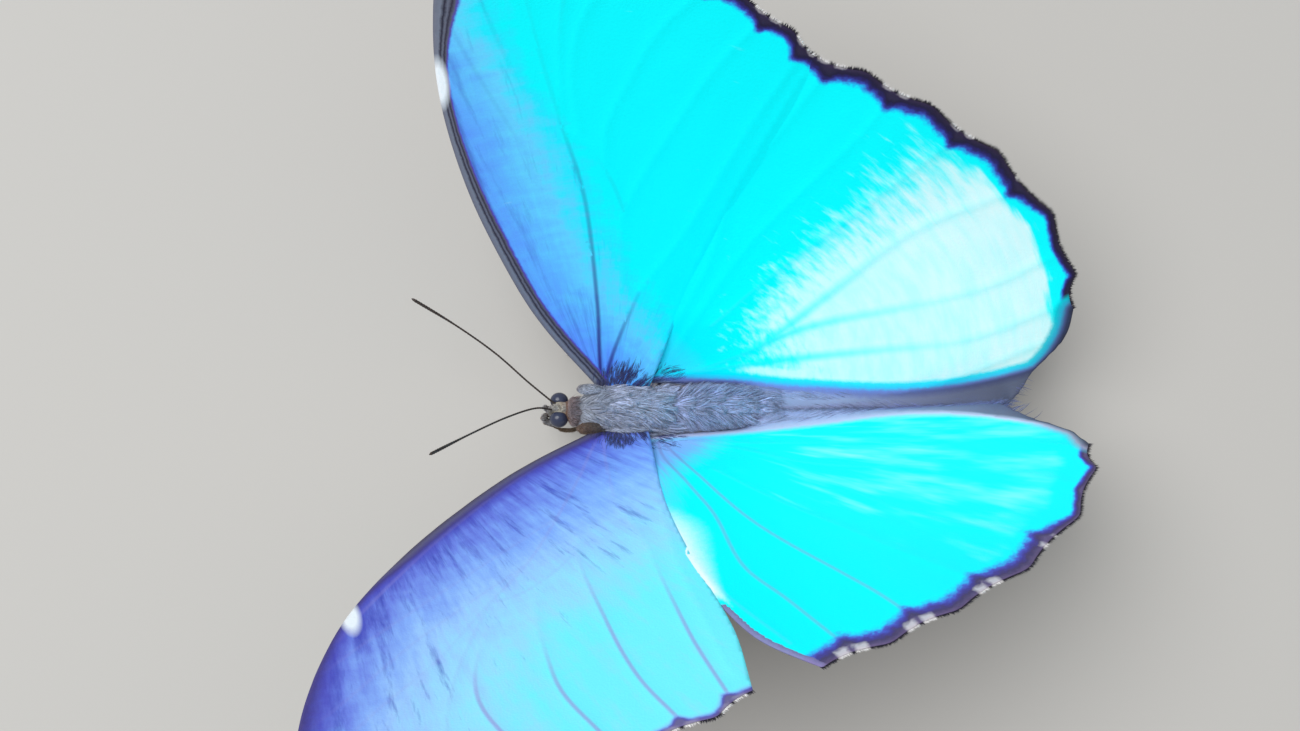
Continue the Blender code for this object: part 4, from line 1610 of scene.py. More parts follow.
BROWN_FINISHES = {
    Hindwing: BrownScales(
        "hindwing_brown_scales",
        (
            Eyespot((40.5, -15.0), 4.3),
            Eyespot((33.5, -33.5), 3.2),
            Eyespot((26.6, -41.5), 3.6),
            Eyespot((18.0, -46.5), 3.3),
        ),
        ((17.0, -9.0, 4.0, 1.3), (25.0, -22.0, 3.0, 1.0)),
    ),
    Forewing: BrownScales(
        "forewing_brown_scales",
        (Eyespot((54.0, 14.0), 3.4), Eyespot((53.5, 4.8), 2.7), Eyespot((50.5, -3.2), 3.3)),
        ((19.0, 6.4, 2.6, 1.1), (32.0, 11.0, 3.2, 1.3), (47.5, 22.5, 5.5, 1.6)),
    ),
}


@dataclass(frozen=True)
class Fur(Finish):
    """Hair scales: fine chitin bristles, dull and soft, lit a little along their edges.

    The coat and the skin under it read the same root places, so both carry the same markings.
    """

    along: Stops
    sides: str = "74747C"
    tips: str = "C2C8D8"
    tip_share: float = 0.4
    dark: float = 0.48
    light: float = 1.62
    clump: float = 0.55
    span: Pair = (-13.0, 25.0)

    def dress(self, tree: Tree) -> Inputs:
        """Colour by the root's place from nose to tail, clouded, then by each hair's tone and tip."""
        root = add_node(tree, "Attribute", (), 1, attribute_name="root")
        _, rearward, height = add_node(tree, "SeparateXYZ", (root,), None)
        cloud = add_node(tree, "TexNoise", {"Vector": root, "Scale": self.clump, "Detail": 3.0})
        ragged = add_node(tree, "Math", (cloud, 2.0, -1.0), operation="MULTIPLY_ADD")
        place = add_node(tree, "Math", (rearward, ragged), operation="ADD")
        share = add_node(tree, "MapRange", (place, *self.span, 0.0, 1.0))
        colour = add_node(tree, "ValToRGB", (share,), stops=self.along)
        low = add_node(tree, "MapRange", (height, -0.6, -2.6, 0.0, 0.8))
        tip = add_node(tree, "Attribute", (), 2, attribute_name="tip")
        pale = add_node(tree, "Math", (tip, self.tip_share), operation="MULTIPLY")
        colour = self.painted(tree, colour, [(low, linear(self.sides)), (pale, linear(self.tips))])
        tone = add_node(tree, "Attribute", (), 2, attribute_name="tone")
        tone = add_node(tree, "MapRange", (tone, 0.0, 1.0, self.dark, self.light))
        patch = add_node(tree, "MapRange", (cloud, 0.3, 0.7, 0.75, 1.2))
        lit = add_node(tree, "Math", (tone, patch), operation="MULTIPLY")
        return {
            "Base Color": add_node(tree, "VectorMath", {0: colour, "Scale": lit}, operation="SCALE"),
            "Roughness": 0.7,
            "Specular IOR Level": 0.3,
            "Sheen Weight": 0.15,
            "Sheen Roughness": 0.5,
        }


BODY_FUR = Fur(
    "body_hair_scales",
    [
        (0.03, "7E7468"), (0.075, "C2BBA9"), (0.1, "7A5A48"), (0.125, "5E382C"), (0.15, "9298A4"),
        (0.3, "AAB4CE"), (0.44, "AEBAD8"), (0.5, "A0ACD2"), (0.62, "96A4D2"), (1.0, "A4AEDA"),
    ],
)
DARK_FUR = Fur(
    "wing_root_hair",
    [(0.0, "282C58"), (1.0, "303C80")],
    sides="282C58",
    tips="3C4898",
    tip_share=0.3,
    dark=0.5,
    light=1.6,
)
FOLD_FUR = Fur(
    "fold_hair",
    [(0.0, "B0BCE0"), (0.35, "9AA8D2"), (0.65, "7480BA"), (0.85, "566098"), (1.0, "4C5288")],
    sides="8C98C0",
    tips="A8B2D6",
    tip_share=0.3,
    dark=0.6,
    light=1.2,
    span=(8.0, 58.0),
)
TEGULA_FUR = Fur(
    "tegula_scales",
    [(0.12, "6E5340"), (0.17, "5A463C"), (0.22, "4A4040"), (0.3, "6A6468")],
    sides="5A463C",
    tips="8A7868",
    tip_share=0.3,
    dark=0.55,
    light=1.35,
)
LEG_FUR = Fur(
    "leg_scales",
    [(0.0, "5E4A38"), (1.0, "5E4A38")],
    sides="4E3D2E",
    tips="9A8468",
    dark=0.5,
    light=1.4,
)


@dataclass(frozen=True)
class Cuticle(Finish):
    """Bare sclerotised cuticle: hard brown chitin, ringed and faintly glossy.

    Its pits are about 0.02 mm apart, drawn 0.11 mm apart.
    """

    base: str
    pale: str
    grain: float
    pit_spacing: float = 1 / 9

    def dress(self, tree: Tree) -> Inputs:
        """Brown, clouded with paler amber where the wall is thin, with a fine pitted relief."""
        place = add_node(tree, "TexCoord", (), "Object")
        cloud = add_node(tree, "TexNoise", {"Vector": place, "Scale": self.grain / MM, "Detail": 4.0})
        pits = add_node(tree, "TexVoronoi", {"Vector": place, "Scale": 1 / (self.pit_spacing * MM)})
        return {
            "Base Color": add_node(tree, "ValToRGB", (cloud,), stops=[(0.35, self.base), (0.75, self.pale)]),
            "Normal": add_node(tree, "Bump", {"Strength": 0.4, "Distance": 0.03 * MM, "Height": pits}),
            "Roughness": 0.42,
        }


@dataclass(frozen=True)
class Cornea(Finish):
    """A compound eye: clear facets over dark pigment, so it is glossy, near black and bluish.

    Facets are about 0.03 mm across, drawn 0.09 mm across.
    """

    facet: float = 1 / 11

    def dress(self, tree: Tree) -> Inputs:
        """Blue-black, clouded with paler patches, with a facetted relief under a clear coat."""
        place = add_node(tree, "TexCoord", (), "Object")
        cloud = add_node(tree, "TexNoise", {"Vector": place, "Scale": 0.9 / MM, "Detail": 2.0})
        facets = add_node(tree, "TexVoronoi", {"Vector": place, "Scale": 1 / (self.facet * MM)})
        stops = [(0.3, "0C1020"), (0.55, "18213A"), (0.75, "2C3A5C")]
        return {
            "Base Color": add_node(tree, "ValToRGB", (cloud,), stops=stops),
            "Normal": add_node(tree, "Bump", {"Strength": 0.6, "Distance": 0.03 * MM, "Height": facets}),
            "Roughness": 0.22,
            "Coat Weight": 0.8,
            "Coat Roughness": 0.06,
        }


@dataclass(frozen=True)
class Fringe(Finish):
    """Fringe scales: long flat hairs, brown-black at the vein ends and white between."""

    dark: str = "221B2C"
    white: str = "EDEAEA"

    def dress(self, tree: Tree) -> Inputs:
        """White where the mark says so, each hair of its own tone."""
        mark = add_node(tree, "Attribute", (), 2, attribute_name="mark")
        share = add_node(tree, "MapRange", (mark, 1.1, 0.8, 0.0, 1.0))
        mix = {0: share, 6: linear(self.dark), 7: linear(self.white)}
        colour = add_node(tree, "Mix", mix, 2, data_type="RGBA")
        tone = add_node(tree, "Attribute", (), 2, attribute_name="tone")
        tone = add_node(tree, "MapRange", (tone, 0.0, 1.0, 0.7, 1.15))
        lit = add_node(tree, "VectorMath", {0: colour, "Scale": tone}, operation="SCALE")
        return {"Base Color": lit, "Roughness": 0.7}


# ---------------------------------------------------------------- body


def finished(thing: Thing, name: str, finish: Finish, angle: float) -> Thing:
    """Names a shaped piece, smooths it up to an angle in degrees and gives it its one finish."""
    only(thing)
    bpy.ops.object.shade_smooth_by_angle(angle=math.radians(angle))
    thing.name = thing.data.name = name
    thing.data.materials.clear()
    thing.data.materials.append(finish.material())
    return thing


Station = tuple[float, float, float, float, float]


@dataclass(frozen=True)
class HeadFrame:
    """Where the head sits and how it is rolled, its left side up."""

    centre: Triple = (-0.3, -10.1, -0.4)
    roll: float = 16.0
    eye_offset: Triple = (1.5, -0.15, 0.1)
    eye_radii: Triple = (1.2, 1.35, 1.4)

    def place(self, offset: Triple | Array) -> Array:
        """A place, or places, on the head from offsets drawn with the head upright."""
        x, y, z = np.asarray(offset, float).T
        c, s = math.cos(math.radians(self.roll)), math.sin(math.radians(self.roll))
        return np.stack([c * x - s * z, y, s * x + c * z], -1) + self.centre

    def eye_centre(self, sign: int) -> Array:
        """The middle of the eye on one side."""
        x, y, z = self.eye_offset
        return self.place((sign * x, y, z))


HEAD = HeadFrame()


@dataclass
class Skin:
    """Head, neck, thorax, abdomen, palps and leg bases as one closed skin, inside the coat's tips."""

    thorax: list[Station] = field(
        default_factory=lambda: [
            (-8.2, 0.0, -0.6, 1.5, 1.7),
            (-7.3, 0.1, -0.4, 2.6, 2.9),
            (-5.0, 0.2, -0.1, 3.3, 3.9),
            (-1.8, 0.2, 0.0, 3.6, 4.3),
            (1.6, 0.2, 0.0, 3.5, 4.2),
            (4.4, 0.1, -0.1, 3.1, 3.6),
            (6.4, 0.0, -0.2, 2.2, 2.6),
        ]
    )
    abdomen: list[Station] = field(
        default_factory=lambda: [
            (5.6, -0.1, -0.2, 2.1, 2.4),
            (8.2, -0.3, -0.1, 2.6, 2.8),
            (11.0, -0.5, 0.0, 2.9, 3.1),
            (15.0, -0.5, -0.2, 2.8, 2.95),
            (19.0, -0.4, -0.9, 2.0, 2.3),
            (22.0, -0.35, -1.8, 1.3, 1.6),
            (23.7, -0.3, -2.3, 0.8, 0.9),
        ]
    )
    thorax_coat: float = 0.6
    abdomen_coat: float = 0.45
    head_radii: Triple = (1.4, 1.45, 1.6)
    ring_length: float = 2.3
    ring_depth: float = 0.12
    voxel: float = 0.13
    axis: Pair = (0.0, -0.2)
    ends: Pair = (-13.2, 24.6)

    def trunk(self, stations: list[Station], coat: float, ringed: bool) -> Thing:
        """A length of body, drawn out of a disc from station to station.

        Args:
            stations: place along, middle across and up, and half sizes, at the coat's tips.
            coat: the coat's depth.
            ringed: whether it is ringed like an abdomen.

        Returns:
            The object, closed at both ends.
        """
        only_none()
        line = catmull_rom(stations, 5)
        shrink = np.full(len(line), coat)
        if ringed:
            shrink += self.ring_depth * np.abs(np.cos(math.pi * line[:, 0] / self.ring_length)) ** 6
        sizes = np.maximum(line[:, 3:] - shrink[:, None], 0.2)
        middles = [Vector(LAYOUT.place((x, y, z))) for y, x, z in line[:, :3]]
        bpy.ops.mesh.primitive_circle_add(vertices=40, radius=MM, fill_type="NGON")
        thing = bpy.context.view_layer.objects.active
        thing.data.transform(Matrix.Rotation(math.pi / 2, 4, "X"))
        thing.data.transform(Matrix.Diagonal((sizes[0][0], 1.0, sizes[0][1], 1.0)))
        thing.data.transform(Matrix.Translation(middles[0]))
        bpy.ops.object.mode_set(mode="EDIT")
        bpy.ops.mesh.select_all(action="SELECT")
        for before, after, old, new in zip(middles, middles[1:], sizes, sizes[1:]):
            bpy.ops.mesh.extrude_region_move(TRANSFORM_OT_translate={"value": after - before})
            bpy.ops.transform.resize(value=(new[0] / old[0], 1.0, new[1] / old[1]), center_override=after)
        bpy.ops.mesh.select_all(action="SELECT")
        bpy.ops.mesh.normals_make_consistent(inside=False)
        bpy.ops.object.mode_set(mode="OBJECT")
        return thing

    def swellings(self) -> list[Thing]:
        """The head and all that swells from the trunk: collar, scutellum, wing roots and leg bases."""
        x, y, z = HEAD.centre
        parts = [
            ball(HEAD.centre, self.head_radii, 48),
            ball((x, y - 0.75, z - 0.55), (0.95, 0.95, 1.1)),
            ball((x, y - 0.2, z + 1.0), (0.75, 0.8, 0.65)),
            ball((0.0, -7.9, 1.2), (1.5, 0.9, 1.0)),
            ball((0.15, 3.6, 2.7), (1.3, 1.5, 0.9)),
            rod(np.array([(-0.3, -9.6, -0.5), (-0.1, -7.2, -0.4)]), [1.35, 1.8]),
            ball((-0.15, -8.1, -0.25), (1.95, 1.3, 1.95)),
        ]
        for side in (-1, 1):
            parts += [
                ball((side * 2.75, -0.6, 1.7), (0.85, 3.6, 0.8), lean=side * -50),
                ball((side * 2.5, 5.0, 0.9), (0.7, 1.8, 0.8), lean=side * -50),
                ball((side * 1.2, -6.0, -2.4), (0.65, 0.8, 1.0)),
                ball((side * 1.7, -1.4, -3.2), (0.75, 1.1, 1.1)),
                ball((side * 1.6, 2.6, -3.1), (0.75, 1.1, 1.1)),
            ]
        return parts

    def palps(self) -> list[Thing]:
        """The two upturned palps: a stout brush and a small tip."""
        made = []
        path = [
            (0.8, -0.7, -1.5), (0.85, -1.3, -2.1), (0.85, -1.85, -1.8), (0.8, -2.1, -1.0), (0.7, -2.0, -0.1),
        ]
        for side in (-1, 1):
            line = catmull_rom(HEAD.place(np.array(path) * (side, 1, 1)), 6)
            radii = np.interp(np.linspace(0, 1, len(line)), [0, 0.45, 0.8, 1], [0.3, 0.36, 0.24, 0.1])
            made.append(rod(line, radii))
        return made

    def build(self) -> Thing:
        """Melds the parts into one skin with no seam, and unwraps it round the body's length."""
        parts = [
            self.trunk(self.thorax, self.thorax_coat, False),
            self.trunk(self.abdomen, self.abdomen_coat, True),
            *self.swellings(),
            *self.palps(),
        ]
        skin = melded(parts, "body_skin")
        apply_modifier(skin, "REMESH", mode="VOXEL", voxel_size=self.voxel * MM, use_smooth_shade=True)
        apply_modifier(skin, "SMOOTH", factor=0.5, iterations=5)
        points, _, _ = surface_of(skin)
        mesh = skin.data
        write_values(
            mesh,
            {"root": points, "tip": np.zeros(len(points)), "tone": np.full(len(points), 0.25)},
        )
        corners = np.zeros(len(mesh.loops), np.int32)
        mesh.loops.foreach_get("vertex_index", corners)
        flat = self.unwrap(points)[corners]
        starts = np.zeros(len(mesh.polygons), np.int32)
        mesh.polygons.foreach_get("loop_start", starts)
        group = np.searchsorted(starts, np.arange(len(corners)), side="right") - 1
        high = np.maximum.reduceat(flat[:, 0], starts)[group]
        flat[:, 0] += 0.9 * (high - flat[:, 0] > 0.45)
        layer = mesh.uv_layers.new(name="OFBake")
        layer.data.foreach_set("uv", flat.astype(np.float32).ravel())
        mesh.materials.clear()
        mesh.materials.append(BODY_FUR.material())
        return skin

    def unwrap(self, points: Array) -> Array:
        """Places on the skin laid out by their angle round the body and their place along it."""
        angle = np.arctan2(points[:, 0] - self.axis[0], -(points[:, 2] - self.axis[1]))
        along = (points[:, 1] - self.ends[0]) / (self.ends[1] - self.ends[0])
        return np.stack([0.02 + 0.9 * (angle / (2 * math.pi) + 0.5), 0.01 + 0.97 * np.clip(along, 0, 1)], 1)


@dataclass(frozen=True)
class CoatRegion:
    """One piece of coat: where it grows along the body, how thickly and how its hair is cut."""

    name: str
    count: int
    tuft: Tuft
    span: Pair
    soft: float = 0.5
    seed: int = 1
    splayed: bool = False


@dataclass
class Coat:
    """The body's hair, laid over the skin in locks that stream towards the tail."""

    skin: Thing
    unwrap: Callable[[Array], Array]
    barrier: Barrier
    regions: tuple[CoatRegion, ...] = (
        CoatRegion("coat_thorax", 8900, Tuft(1.9, 0.15, lift=0.4, curl=0.2), (-8.2, 7.2), 0.6, 11),
        CoatRegion(
            "coat_thorax_long", 6200, Tuft(3.3, 0.15, lift=0.5, curl=0.25, gather=0.8), (-7.2, 7.6), 0.8, 14
        ),
        CoatRegion("coat_abdomen", 8900, Tuft(1.6, 0.13, curl=0.15), (6.6, 25.0), 0.6, 12),
        CoatRegion(
            "coat_abdomen_long", 7000, Tuft(2.9, 0.13, lift=0.5, curl=0.25, gather=0.7), (6.0, 25.0), 0.8, 15
        ),
        CoatRegion(
            "coat_veil",
            5200,
            Tuft(3.4, 0.1, lift=0.75, droop=0.45, curl=0.2, gather=0.4),
            (6.0, 20.5),
            0.8,
            16,
            splayed=True,
        ),
        CoatRegion(
            "coat_mantle",
            2600,
            Tuft(2.3, 0.11, lift=0.7, droop=0.6, curl=0.25),
            (-6.6, 7.4),
            0.8,
            17,
            splayed=True,
        ),
        CoatRegion(
            "coat_head",
            8500,
            Tuft(0.9, 0.09, lift=0.5, droop=0.7, curl=0.2, gather=0.45),
            (-14.0, -7.6),
            0.4,
            13,
        ),
    )

    def flows(self, places: Array, normals: Array) -> Array:
        """Which way the hair lies.

        Args:
            places: roots.
            normals: the skin's normals there.

        Returns:
            A direction for each root: back and down the flanks, up and forward on the face.
        """
        swirl = wander(places, 2.2, 1.0)
        sway = wander(places, 1.1, 4.0)
        x, y, z = places.T
        behind = smooth_step(5.0, 9.0, y)
        down = -0.2 * np.abs(normals[:, 0])
        out = np.clip(x / 2.5, -1, 1) * (0.15 + 0.4 * behind)
        collar = smooth_step(-6.2, -7.4, y) * np.maximum(-normals[:, 1], 0)
        way = np.stack([out + 0.2 + 0.4 * swirl, np.ones(len(places)), down + 0.2 * sway + 0.9 * collar], 1)
        face = smooth_step(-9.2, -10.6, y)[:, None]
        fore = np.stack([0.3 * x + 0.3 * swirl, -0.7 + 0.2 * sway, 0.5 + 0.6 * (z > 0)], 1)
        return way * (1 - face) + fore * face

    def build(self) -> list[Thing]:
        """Grows every region's hair."""
        points, triangles, normals = surface_of(self.skin)
        flat = self.unwrap(points)
        pieces = []
        for region in self.regions:
            low, high = region.span
            y = points[:, 1]
            share = smooth_step(low - region.soft, low + region.soft, y)
            share *= smooth_step(high + region.soft, high - region.soft, y)
            for sign in (-1, 1):
                reach = (points - HEAD.eye_centre(sign)) / HEAD.eye_radii
                share *= 1 - 0.97 * (np.linalg.norm(reach, axis=1) < 1.1)
            if region.splayed:
                share *= smooth_step(0.35, 0.7, np.abs(normals[:, 0])) * smooth_step(-0.5, 0.1, normals[:, 2])
            hairs, _, _ = scatter(points, triangles, normals, flat, share, region.count, region.seed)
            hairs.unwrap = self.unwrap(hairs.roots)
            hairs.flows = self.flows(hairs.roots, hairs.normals)
            if region.splayed:
                hairs.flows += (hairs.normals * (1, 0, 0)) * 0.7 + (0, 0, 0.15)
            scale = 1 - 0.45 * smooth_step(-1.0, -4.0, hairs.roots[:, 2])
            solid = region.tuft.grow(hairs, region.seed, scale, self.barrier)
            pieces.append(solid.build(region.name, [BODY_FUR.material()]))
        return pieces


@dataclass
class Eye:
    """A bulging compound eye, cut flat where it sits in the head."""

    side: Side
    flat: float = 0.7

    def build(self) -> Thing:
        """A smooth ball with its inner cap cut off and closed."""
        sign = self.side.value
        eye = ball(tuple(HEAD.eye_centre(sign)), HEAD.eye_radii, 72, lean=-HEAD.roll)
        only(eye)
        bpy.ops.object.mode_set(mode="EDIT")
        bpy.ops.mesh.select_all(action="SELECT")
        cut = HEAD.place((sign * self.flat, 0, 0))
        out = cut - HEAD.centre
        middle = Vector(LAYOUT.place(cut))
        bpy.ops.mesh.bisect(plane_co=middle, plane_no=Vector(out), use_fill=True, clear_inner=True)
        bpy.ops.mesh.select_all(action="SELECT")
        bpy.ops.mesh.normals_make_consistent(inside=False)
        bpy.ops.object.mode_set(mode="OBJECT")
        return finished(eye, f"eye_{self.side.word}_facetted", Cornea("eye_cornea"), 40)


@dataclass
class Antenna:
    """A slender ringed feeler with a slightly thicker tip."""

    side: Side
    path: list[Triple]
    ring: float = 0.42

    def build(self) -> Thing:
        """A rod whose width swells at every ring and towards the club."""
        line = evenly(catmull_rom(self.path, 30), self.ring / 4)
        share = np.linspace(0, 1, len(line))
        club = 0.135 + 0.085 * smooth_step(0.68, 0.93, share)
        rings = 1 + 0.13 * np.cos(np.arange(len(line)) * math.pi / 2)
        base = 0.1 * np.exp(-((share / 0.012) ** 2))
        round_end = np.sqrt(np.clip((1 - share) / 0.02, 0.02, 1))
        feeler = rod(line, (club * rings + base) * round_end, 2)
        cuticle = Cuticle("antenna_cuticle", "1D1512", "3E2E26", 2.0)
        return finished(feeler, f"antenna_{self.side.word}_ringed", cuticle, 50)


@dataclass
class Proboscis:
    """The coiled tongue: a ringed double tube wound into a flat spiral under the face."""

    centre: Triple = (0.0, -1.9, -2.7)
    radii: Pair = (0.35, 1.45)
    turns: float = 2.25
    stem_angle: float = 110.0
    stem: Triple = (0.0, -1.2, -0.9)

    def build(self) -> Thing:
        """A spiral rod, thickest at its stem, ringed along its length."""
        t = np.linspace(0, 1, 220)
        angle = np.radians(self.stem_angle) - 2 * math.pi * self.turns * (1 - t)
        radius = self.radii[0] + (self.radii[1] - self.radii[0]) * t
        x, y, z = self.centre
        coil = np.stack([np.full(len(t), x), y + radius * np.cos(angle), z + radius * np.sin(angle)], 1)
        line = np.vstack([coil, catmull_rom([coil[-1], (coil[-1] + self.stem) / 2, self.stem], 6)[1:]])
        share = np.linspace(0, 1, len(line))
        rings = 1 + 0.08 * np.cos(np.arange(len(line)) * math.pi / 2)
        tongue = rod(HEAD.place(line), (0.08 + 0.12 * share) * rings, 2)
        return finished(tongue, "proboscis_coiled", Cuticle("proboscis_cuticle", "3A2416", "7A5532", 1.6), 60)


@dataclass
class Tegula:
    """The scale-covered shield over a forewing's hinge."""

    side: Side
    centre: Triple = (2.9, -5.6, 2.5)
    radii: Triple = (0.7, 1.95, 1.0)
    lean: float = 38.0
    scales: int = 1500

    def shape(self) -> Thing:
        """A flattened ball, drawn out towards its rear."""
        sign = self.side.value
        x, y, z = self.centre
        shield = ball((sign * x, y, z), self.radii, 36, -sign * self.lean)
        shield.name = shield.data.name = f"tegula_{self.side.word}_scaled"
        only(shield)
        bpy.ops.object.shade_smooth()
        return shield

    def build(self, unwrap: Callable[[Array], Array]) -> Thing:
        """The shield with its coat of short scales as one piece."""
        shield = self.shape()
        points, triangles = in_order(*surface_of(shield)[:2])
        normals = normals_of(points, triangles)
        flat = unwrap(points)
        hairs, _, _ = scatter(points, triangles, normals, flat, np.ones(len(points)), self.scales, 31)
        hairs.unwrap = unwrap(hairs.roots)
        hairs.flows = np.tile((0.25 * self.side.value, 1.0, -0.15), (hairs.count, 1))
        tuft = Tuft(
            0.75, 0.17, lift=0.25, droop=0.8, curl=0.1, gather=0.2, rings=(0.0, 0.4, 0.75), flatness=0.25
        )
        values = {"root": points, "tip": np.zeros(len(points)), "tone": np.full(len(points), 0.2)}
        bare = Solid(points, triangles, values, flat)
        fur = TEGULA_FUR if self.side is Side.LEFT else BODY_FUR
        made = joined([bare, tuft.grow(hairs, 32)]).build(shield.name + "_coat", [fur.material()])
        bpy.data.objects.remove(shield)
        made.name = made.data.name = f"tegula_{self.side.word}_scaled"
        return made


@dataclass
class Leg:
    """A jointed leg: femur, tibia with its spurs, and a five-jointed tarsus with claws."""

    kind: str
    side: Side
    path: list[Triple]
    walking: bool = True
    scales: int = 1400
    brush_hairs: int = 1900
    spines: int = 26
    spine_length: float = 0.34
    spur_length: float = 0.95
    spur_places: tuple[int, int] = (10, 11)
    foot_from: float = 0.68
    joint_share: float = 0.064

    def widths(self, count: int) -> Array:
        """The leg's half width at each of a number of even steps from body to tip."""
        s = np.linspace(0, 1, count)
        if not self.walking:
            places = [0, 0.2, 0.32, 0.36, 0.6, 0.66, 1.0]
            return np.interp(s, places, [0.34, 0.34, 0.24, 0.26, 0.24, 0.18, 0.08])
        places = [0, 0.1, 0.13, 0.3, 0.36, 0.385, 0.42, 0.6, 0.66, 0.68]
        sizes = [0.42, 0.42, 0.3, 0.4, 0.28, 0.32, 0.26, 0.24, 0.27, 0.2]
        shin = np.interp(s, places, sizes)
        toe = (s - self.foot_from) / self.joint_share
        foot = 0.15 + 0.05 * (toe - np.floor(toe))
        return np.where(s > self.foot_from, foot, shin)

    def build(self) -> Thing:
        """Shaft, spurs, spines, claws and scales as one piece."""
        sign = self.side.value
        line = evenly(catmull_rom([(sign * x, y, z) for x, y, z in self.path], 24), 0.08)
        widths = self.widths(len(line))
        parts = [rod(line, widths, 2)]
        if self.walking:
            parts += self.spurs(line) + self.claws(line)
        cuticle = Cuticle("leg_cuticle", "2B1D16", "6B5038", 1.3)
        shaft = finished(melded(parts, "leg"), f"{self.kind}_{self.side.word}_jointed", cuticle, 50)
        scales = self.coat(shaft)
        leg = melded([shaft, scales], shaft.name)
        return leg

    def spurs(self, line: Array) -> list[Thing]:
        """Two spurs at the end of the tibia and short spines along tibia and tarsus."""
        made = []
        rng = np.random.default_rng(41)
        for k in range(self.spines):
            share = 0.42 + 0.55 * k / (self.spines - 1)
            at = int(share * (len(line) - 1))
            ahead = unit(line[min(at + 3, len(line) - 1)] - line[at])
            turn = rng.uniform(0, 2 * math.pi)
            out = unit(np.cross(ahead, (math.cos(turn), math.sin(turn), 0.3)))
            out[2] = abs(out[2]) if share > 0.66 else out[2]
            length = self.spur_length if k in self.spur_places else self.spine_length
            root = line[at] + out * 0.12
            tip = root + unit(ahead * 1.4 + out) * length
            made.append(rod(np.array([root, (root + tip) / 2 + out * 0.03, tip]), [0.06, 0.045, 0.008], 1))
        return made

    def claws(self, line: Array) -> list[Thing]:
        """Two small hooks at the tip, which rest on the floor."""
        made = []
        ahead = unit(line[-1] - line[-6])
        across = unit(np.cross(ahead, (0, 0, 1)))
        for way in (-1, 1):
            root = line[-1] + across * way * 0.06
            hook = [
                root,
                root + ahead * 0.16 + across * way * 0.1 + (0, 0, 0.04),
                root + ahead * 0.3 + across * way * 0.14 + (0, 0, -0.03),
                root + ahead * 0.34 + across * way * 0.13 + (0, 0, -0.12),
            ]
            made.append(rod(catmull_rom(hook, 4), np.linspace(0.06, 0.012, 13), 1))
        return made

    def coat(self, shaft: Thing) -> Thing:
        """Short scales that lie along the leg, or the brush of a reduced foreleg."""
        points, triangles, normals = surface_of(shaft)
        low, high = points.min(0), points.max(0)
        unwrap = ((points - low) / (high - low))[:, :2] * 0.95 + 0.01
        share = np.full(len(points), 1.0)
        count = self.scales if self.walking else self.brush_hairs
        hairs, _, _ = scatter(points, triangles, normals, unwrap, share, count, 43)
        line = catmull_rom([(self.side.value * x, y, z) for x, y, z in self.path], 8)
        ahead = unit(np.gradient(line, axis=0))
        nearest = ((hairs.roots[:, None] - line[None]) ** 2).sum(2).argmin(1)
        hairs.flows = ahead[nearest]
        if self.walking:
            tuft = Tuft(0.42, 0.1, lift=0.12, droop=0.7, curl=0.1, gather=0.0, rings=(0.0, 0.5), flatness=0.3)
        else:
            tuft = Tuft(0.95, 0.09, lift=0.35, droop=0.6, curl=0.15, gather=0.3, rings=(0.0, 0.35, 0.7))
        scales = tuft.grow(hairs, 44)
        scales.points[:, 2] = np.maximum(scales.points[:, 2], LAYOUT.floor)
        return scales.build("leg_coat", [LEG_FUR.material()])


LEG_PATHS = {
    "midleg": [
        (1.6, -1.3, -3.0), (4.2, -1.0, -3.1), (7.3, -1.4, -1.7), (8.5, -2.7, -5.6),
        (9.4, -4.3, -9.7), (10.1, -6.6, -10.28), (10.7, -9.2, -10.28),
    ],
    "hindleg": [
        (1.5, 2.6, -3.0), (4.0, 4.2, -3.1), (6.9, 7.0, -1.5), (7.9, 10.6, -5.8),
        (8.7, 14.1, -9.7), (9.3, 17.4, -10.28), (9.8, 21.0, -10.28),
    ],
    "foreleg": [
        (1.2, -6.2, -2.4), (1.9, -7.9, -4.2), (2.0, -9.6, -4.7), (1.6, -11.0, -4.3), (1.3, -12.2, -3.6),
    ],
}
ANTENNA_PATHS = {
    Side.LEFT: [
        (-0.2, -10.9, 0.65), (-0.1, -13.5, 2.8), (1.7, -17.2, 6.2), (4.5, -21.4, 10.6), (8.3, -26.7, 16.0),
    ],
    Side.RIGHT: [
        (-1.1, -10.8, 0.5), (-4.1, -14.6, 2.0), (-8.2, -19.4, 3.7), (-12.0, -25.0, 5.6), (-15.4, -31.0, 8.0),
    ],
}


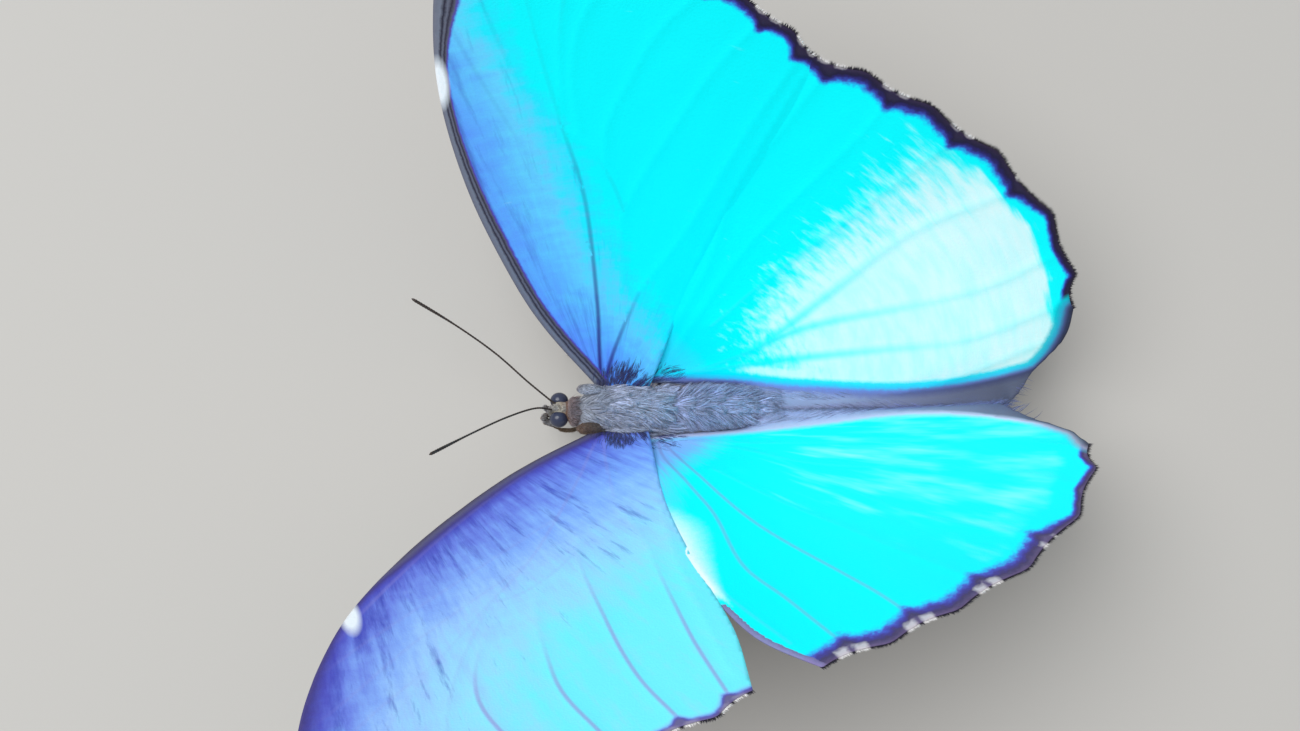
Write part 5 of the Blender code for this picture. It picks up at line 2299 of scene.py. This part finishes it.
@dataclass
class Stage:
    """A plain pale floor, soft studio light and the camera."""

    camera_place: Triple = (32.54, 2.42, 199.5)
    right: Triple = (0.0092, 1.0, 0.0023)
    up: Triple = (-0.981, 0.0086, 0.1937)
    back: Triple = (0.1937, -0.0041, 0.981)
    focal: float = 1370.0
    frame_width: float = 1300.0
    sky: float = 0.48
    key_power: float = 10.0
    key_place: Triple = (-0.08, -0.4, 1.0)
    key_size: float = 0.9

    def build(self) -> None:
        """Sets the floor, lights and camera."""
        self.floor()
        self.lights()
        self.camera()
        bpy.context.scene.view_settings.view_transform = "Standard"

    def floor(self) -> None:
        """A wide matt floor at the feet's level."""
        only_none()
        bpy.ops.mesh.primitive_plane_add(size=60)
        plate = bpy.context.view_layer.objects.active
        plate.name = "floor"
        paint = bpy.data.materials.new("matt_floor")
        paint.use_nodes = True
        shader = paint.node_tree.nodes["Principled BSDF"]
        shader.inputs["Base Color"].default_value = linear("BFBDB9")
        shader.inputs["Roughness"].default_value = 0.95
        shader.inputs["Specular IOR Level"].default_value = 0.1
        plate.data.materials.append(paint)

    def lights(self) -> None:
        """An even pale sky and one wide soft lamp above the head."""
        world = bpy.data.worlds.new("studio")
        bpy.context.scene.world = world
        world.use_nodes = True
        background = world.node_tree.nodes["Background"]
        background.inputs[0].default_value = (0.94, 0.97, 1.0, 1.0)
        background.inputs[1].default_value = self.sky
        light = bpy.data.lights.new("soft_key", "AREA")
        light.shape, light.size, light.energy = "DISK", self.key_size, self.key_power
        lamp = bpy.data.objects.new("soft_key", light)
        bpy.context.scene.collection.objects.link(lamp)
        lamp.location = self.key_place
        lamp.rotation_euler = (Vector((0, 0, 0.03)) - lamp.location).to_track_quat("-Z", "Y").to_euler()

    def camera(self) -> None:
        """The camera above the back, with the head to its left."""
        data = bpy.data.cameras.new("camera")
        data.sensor_width = 36.0
        data.lens = self.focal * data.sensor_width / self.frame_width
        eye = bpy.data.objects.new("camera", data)
        bpy.context.scene.collection.objects.link(eye)
        turn = Matrix((self.right, self.up, self.back)).transposed().normalized().to_4x4()
        eye.matrix_world = Matrix.Translation(Vector(LAYOUT.place(self.camera_place))) @ turn
        bpy.context.scene.camera = eye


def build_wings() -> list[Thing]:
    """The four wings, their fringes and the hair at their roots and folds; gives the wings."""
    shells = []
    for wing in make_wings():
        faces = [blue_finish(wing).material(), BROWN_FINISHES[type(wing)].material()]
        shells.append(wing.shell().build(f"{wing.name}_scaled", faces))
        settle(shells[-1], [wing.name])
        fringe = wing.fringe().build(f"{wing.name}_fringe", [Fringe("fringe_scales").material()])
        settle(fringe, [])
        settle(wing.root_hairs().build(f"{wing.name}_root_hair", [DARK_FUR.material()]), [])
        if isinstance(wing, Hindwing):
            settle(wing.fold_hairs().build(f"{wing.name}_fold_hair", [FOLD_FUR.material()]), [])
    return shells


def build_body(wings: list[Thing]) -> None:
    """The skin, its coat, and the pieces that stay separate on it."""
    plan = Skin()
    skin = plan.build()
    settle(skin, ["head", "thorax", "abdomen", "palp_left", "palp_right"])
    for piece in Coat(skin, plan.unwrap, Barrier(wings)).build():
        settle(piece, [])
    settle(Proboscis().build(), ["proboscis"])
    for side in Side:
        word = side.word
        settle(Eye(side).build(), [f"eye_{word}"])
        settle(Antenna(side, ANTENNA_PATHS[side]).build(), [f"antenna_{word}"])
        settle(Tegula(side).build(plan.unwrap), [f"tegula_{word}"])
        for kind, path in LEG_PATHS.items():
            leg = Leg(kind, side, path, kind != "foreleg").build()
            settle(leg, [f"{kind}_{word}"])


def main() -> None:
    """Builds the animal and its stage."""
    logging.basicConfig(level=logging.INFO, format="%(message)s")
    build_body(build_wings())
    Stage().build()


if __name__ == "__main__":
    main()
